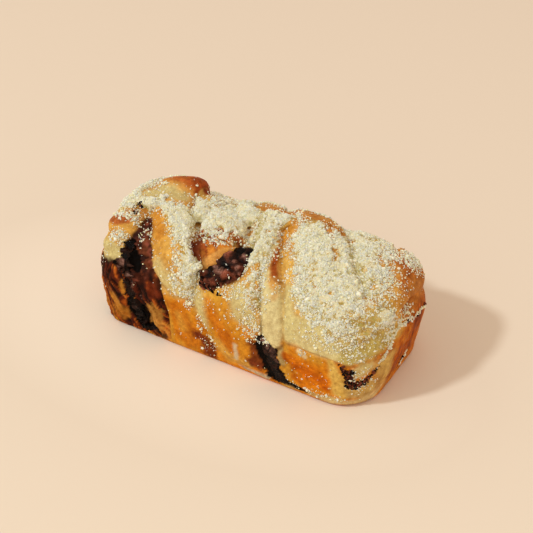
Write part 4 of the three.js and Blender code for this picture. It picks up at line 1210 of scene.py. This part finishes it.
def scatter(name, kind, hits):
    """Crumbs as one mesh: pebbles of uneven size and shape, sunk deeper where they lie on a bed."""
    pebble, tris = base_pebble(kind["level"])
    spots, outs, on_bed = hits
    count = len(spots)
    least, most = kind["radius"]
    size = least + (most - least) * rng.random(count) ** SMALL_POWER
    spans = size[:, None] * rng.uniform(*CRUMB_SPANS, (count, 3))
    rough = 1 + kind["uneven"] * rng.uniform(-1, 1, (count, len(pebble), 1))
    shaped = pebble[None] * rough * spans[:, None, :]
    shaped = np.einsum("nij,nvj->nvi", random_turns(count), shaped)
    centres = spots + outs * (size * (kind["lift"] - BED_SINK * on_bed))[:, None]
    verts = (centres[:, None, :] + shaped).reshape(-1, 3)
    verts[:, 2] = np.maximum(verts[:, 2], ABOVE_FLOOR)
    faces = (tris[None] + np.arange(count)[:, None, None] * len(pebble)).reshape(-1, 3)
    obj = new_object(name, verts, faces.tolist())
    pick = rng.random(count)
    usual, other, rare = kind["colours"]
    colour = np.tile(np.array(usual), (count, 1))
    colour = painted(colour, [(other, smooth(0.45, 0.9, pick)), (rare, (pick > RARE_FROM) * 0.7)])
    colour *= rng.uniform(*CRUMB_SHADES, (count, 1))
    paint(obj, np.repeat(colour, len(pebble), axis=0))
    shade_smooth(obj)
    return obj


lumps = density ** 2
for spec in CRUMB_LUMPS:
    lumps += LUMP_WEIGHT * (np.hypot(grid_x - spec["x"], grid_t - spec["t"]) < spec["half"][1])
chocolate_bits = np.zeros(len(at_grid))
for run, amount in CHOCOLATE_CRUMBS:
    chocolate_bits = np.maximum(chocolate_bits, amount * smooth(1, -1, run_distance(run, at_grid)))
on_end = all_hits(*(line_hits(line, count) for line, count in END_LINES))
specks = all_hits(*(line_hits(line, count) for line, count in SPECK_LINES))

# Kinds of crumb: how many fall and by what density, the share that stays on the filling, further places,
# level of the pebble, least and most radius, how far they stand out, unevenness, colours, material, slot
BUTTER = dict(stay=ON_FILLING, more=[], look="butter_crumb", slot="crumb",
              colours=(CRUMB_LIGHT, CRUMB_YELLOW, CRUMB_TOASTED))
DARK = dict(stay=1, more=[specks], look="dark_chocolate", slot="chocolate",
            colours=(CHOCOLATE, CHOCOLATE_RED, CHOCOLATE_LIGHT))
CRUMB_KINDS = {
    "crumbs_dust": dict(BUTTER, count=9000, density=density ** 0.8, level=-1, radius=(0.3, 0.48),
                        lift=0.2, uneven=0.2),
    "crumbs_fine": dict(BUTTER, count=22000, density=density, level=0, radius=(0.4, 0.75),
                        lift=0.2, uneven=0.35),
    "crumbs_medium": dict(BUTTER, count=8500, density=density ** 1.2, level=1, radius=(0.5, 1),
                          lift=0.1, uneven=0.4, more=[on_end]),
    "crumbs_clumps": dict(BUTTER, count=150, density=lumps, level=2, radius=(0.9, 1.7),
                          lift=0, uneven=0.35),
    "crumbs_chocolate": dict(DARK, count=350, density=chocolate_bits, level=1, radius=(0.45, 1.1),
                             lift=0.1, uneven=0.4),
}

# Each piece with its material and slot
pieces = [
    (dough, "baked_crust", "crust"),
    (filling, "dark_chocolate", "chocolate"),
    (bed, "crumb_bed", "crumb"),
]
for name, kind in CRUMB_KINDS.items():
    fallen = surface_hits(kind["count"], kind["density"], kind["stay"])
    pieces.append((scatter(name, kind, all_hits(*kind["more"], fallen)), kind["look"], kind["slot"]))

# Materials: mottling and its scale, strength and scale of the fine relief, least and most roughness, gloss
# and the share of light that goes in
LOOKS = {
    "baked_crust": dict(mottle=0.16, mottle_scale=420, bump=0.45, bump_scale=650, rough=(0.38, 0.62),
                        specular=0.03, glow=0),
    "dark_chocolate": dict(mottle=0.55, mottle_scale=500, bump=0.9, bump_scale=600, rough=(0.2, 0.45),
                           specular=0.07, glow=0),
    "butter_crumb": dict(mottle=0.06, mottle_scale=900, bump=0.35, bump_scale=1500, rough=(0.8, 0.98),
                         specular=0.06, glow=0.5),
    "crumb_bed": dict(mottle=0.10, mottle_scale=700, bump=0.6, bump_scale=1100, rough=(0.8, 0.98),
                      specular=0.05, glow=0.3),
}
# How far red, green and blue vary in the mottling, and the scale and strength of a second, finer one
MOTTLE_TINT = (1, 1.2, 1.35)
FINER_SCALE = 3.3
FINER_SHARE = 0.7
BUMP_DISTANCE = 0.0008
GLOW_RADIUS = (1.0, 0.8, 0.5)
GLOW_SCALE = 0.001


def feed(tree, socket, value):
    """Sets a shader input to a value, or joins it to another node's output."""
    if isinstance(value, bpy.types.NodeSocket):
        tree.links.new(value, socket)
    else:
        socket.default_value = value


def node(tree, kind, inputs, **settings):
    """A new shader node with its settings and inputs."""
    made = tree.nodes.new(kind)
    for key, value in settings.items():
        setattr(made, key, value)
    for key, value in inputs.items():
        feed(tree, made.inputs[key], value)
    return made


def noise(tree, place, scale, detail, roughness=0.6):
    inputs = {"Vector": place, "Scale": scale, "Detail": detail, "Roughness": roughness}
    return node(tree, "ShaderNodeTexNoise", inputs).outputs["Fac"]


def map_range(tree, source, span, result):
    """A value moved from one span to another."""
    low, high = span
    inputs = {"Value": source, "From Min": low, "From Max": high, "To Min": result[0], "To Max": result[1]}
    return node(tree, "ShaderNodeMapRange", inputs).outputs["Result"]


def ramp(tree, source, first, last, places=(0, 1)):
    """A colour that goes from first to last as the source goes between two places."""
    made = node(tree, "ShaderNodeValToRGB", {"Fac": source})
    for element, place, colour in zip(made.color_ramp.elements, places, (first, last)):
        element.position = place
        element.color = (*colour, 1)
    return made.outputs["Color"]


def product(tree, first, second):
    return node(tree, "ShaderNodeVectorMath", {0: first, 1: second}, operation="MULTIPLY").outputs["Vector"]


def new_material(name):
    """A material, its node tree and a place on the object."""
    material = bpy.data.materials.new(name)
    material.use_nodes = True
    tree = material.node_tree
    return material, tree, node(tree, "ShaderNodeTexCoord", {}).outputs["Object"]


def set_shader(tree, inputs):
    for key, value in inputs.items():
        feed(tree, tree.nodes["Principled BSDF"].inputs[key], value)


def food_material(name, mottle, mottle_scale, bump, bump_scale, rough, specular, glow):
    """A painted surface with mottling at two scales, uneven gloss and a fine relief."""
    material, tree, place = new_material(name)
    colour = node(tree, "ShaderNodeAttribute", {}, attribute_name="tint").outputs["Color"]
    for scale, strength in ((mottle_scale, mottle), (mottle_scale * FINER_SCALE, mottle * FINER_SHARE)):
        darker = [1 - strength * share for share in MOTTLE_TINT]
        lighter = [1 + strength * share for share in MOTTLE_TINT]
        grain = noise(tree, place, scale, 4)
        colour = product(tree, colour, ramp(tree, grain, darker, lighter, (0.33, 0.67)))
    pores = noise(tree, place, bump_scale, 5, 0.65)
    relief = node(tree, "ShaderNodeBump", {"Strength": bump, "Distance": BUMP_DISTANCE, "Height": pores})
    set_shader(tree, {
        "Base Color": colour,
        "Roughness": map_range(tree, noise(tree, place, mottle_scale * 0.5, 3), (0.35, 0.65), rough),
        "Normal": relief.outputs["Normal"],
        "Specular IOR Level": specular,
        "Subsurface Weight": glow,
        "Subsurface Radius": GLOW_RADIUS,
        "Subsurface Scale": GLOW_SCALE,
    })
    return material


materials = {name: food_material(name, **look) for name, look in LOOKS.items()}
for piece, look, slot in pieces:
    piece.data.materials.clear()
    piece.data.materials.append(materials[look])
    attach(piece, "root")
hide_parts("dough")
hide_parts("filling")
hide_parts("streusel")

# Floor: pale paper, a little darker towards the back, and lighter in front of the loaf with painted light
# that offsets the shade the loaf casts on it there
FLOOR_SIZE = 8
FLOOR_NEAR = (0.825, 0.690, 0.557)
FLOOR_FAR = (0.720, 0.585, 0.470)
FLOOR_DEPTH = (-0.25, 0.55)
FLOOR_PAINTED_LIGHT = (1.26, 1.31, 1.36)
FLOOR_PAINTED_LIGHT_HALF = (0.20, 0.12)
FLOOR_PAINTED_LIGHT_LEFT = 0.03
FLOOR_PAINTED_LIGHT_FORWARD = 0.02
bpy.ops.mesh.primitive_plane_add(size=FLOOR_SIZE)
floor = bpy.context.object
floor.name = "floor"
paper, tree, place = new_material("floor_paper")
depth = node(tree, "ShaderNodeSeparateXYZ", {"Vector": place}).outputs["Y"]
fade = ramp(tree, map_range(tree, depth, FLOOR_DEPTH, (0, 1)), FLOOR_NEAR, FLOOR_FAR)
half_x, half_y = FLOOR_PAINTED_LIGHT_HALF
about = node(tree, "ShaderNodeMapping", {
    "Vector": place, "Scale": (1 / half_x, 1 / half_y, 1),
    "Location": (FLOOR_PAINTED_LIGHT_LEFT / half_x, FLOOR_PAINTED_LIGHT_FORWARD / half_y, 0)})
near = node(tree, "ShaderNodeTexGradient", {"Vector": about.outputs["Vector"]}, gradient_type="SPHERICAL")
set_shader(tree, {
    "Base Color": product(tree, fade, ramp(tree, near.outputs["Fac"], (1, 1, 1), FLOOR_PAINTED_LIGHT)),
    "Roughness": map_range(tree, noise(tree, place, 60, 3), (0.3, 0.7), (0.9, 1)),
    "Specular IOR Level": 0.1,
})
floor.data.materials.append(paper)

# Light: a soft sun from the left front, and an even warm world
SUN_STRENGTH = 1.36
SUN_ANGLE = math.radians(5)
SUN_COLOUR = (0.84, 0.96, 1.0)
SUN_DIRECTION = Vector((0.58, 0.77, -1))
WORLD_COLOUR = (1.0, 0.88, 0.74, 1)
WORLD_STRENGTH = 0.83
sun = placed("window_light", bpy.data.lights.new("window_light", "SUN"))
sun.data.energy = SUN_STRENGTH
sun.data.angle = SUN_ANGLE
sun.data.color = SUN_COLOUR
sun.rotation_euler = SUN_DIRECTION.to_track_quat("-Z", "Y").to_euler()
world = bpy.data.worlds.new("studio")
bpy.context.scene.world = world
world.use_nodes = True
backdrop = world.node_tree.nodes["Background"]
backdrop.inputs["Color"].default_value = WORLD_COLOUR
backdrop.inputs["Strength"].default_value = WORLD_STRENGTH

# Camera, in the same place as the photograph's: lengths in millimetres
CAMERA_AZIMUTH = math.radians(30.43)
CAMERA_ELEVATION = math.radians(39.13)
CAMERA_DISTANCE = 1125
CAMERA_TARGET = Vector((-4, MOVE_BACK, 35))
CAMERA_SHIFT = (5.4, 12.6)
FOCAL_PIXELS = 1653.75
IMAGE_PIXELS = 533
SENSOR = 36
back = Vector((math.sin(CAMERA_AZIMUTH) * math.cos(CAMERA_ELEVATION),
               -math.cos(CAMERA_AZIMUTH) * math.cos(CAMERA_ELEVATION), math.sin(CAMERA_ELEVATION)))
right = Vector((math.cos(CAMERA_AZIMUTH), math.sin(CAMERA_AZIMUTH), 0))
up = back.cross(right)
eye = CAMERA_TARGET + back * CAMERA_DISTANCE
aim = CAMERA_TARGET + right * CAMERA_SHIFT[0] + up * CAMERA_SHIFT[1]
camera = placed("camera", bpy.data.cameras.new("camera"))
camera.data.sensor_width = SENSOR
camera.data.lens = SENSOR * FOCAL_PIXELS / IMAGE_PIXELS
camera.location = eye * MM
camera.rotation_euler = (aim - eye).to_track_quat("-Z", "Y").to_euler()
bpy.context.scene.camera = camera
bpy.context.scene.view_settings.view_transform = "Standard"
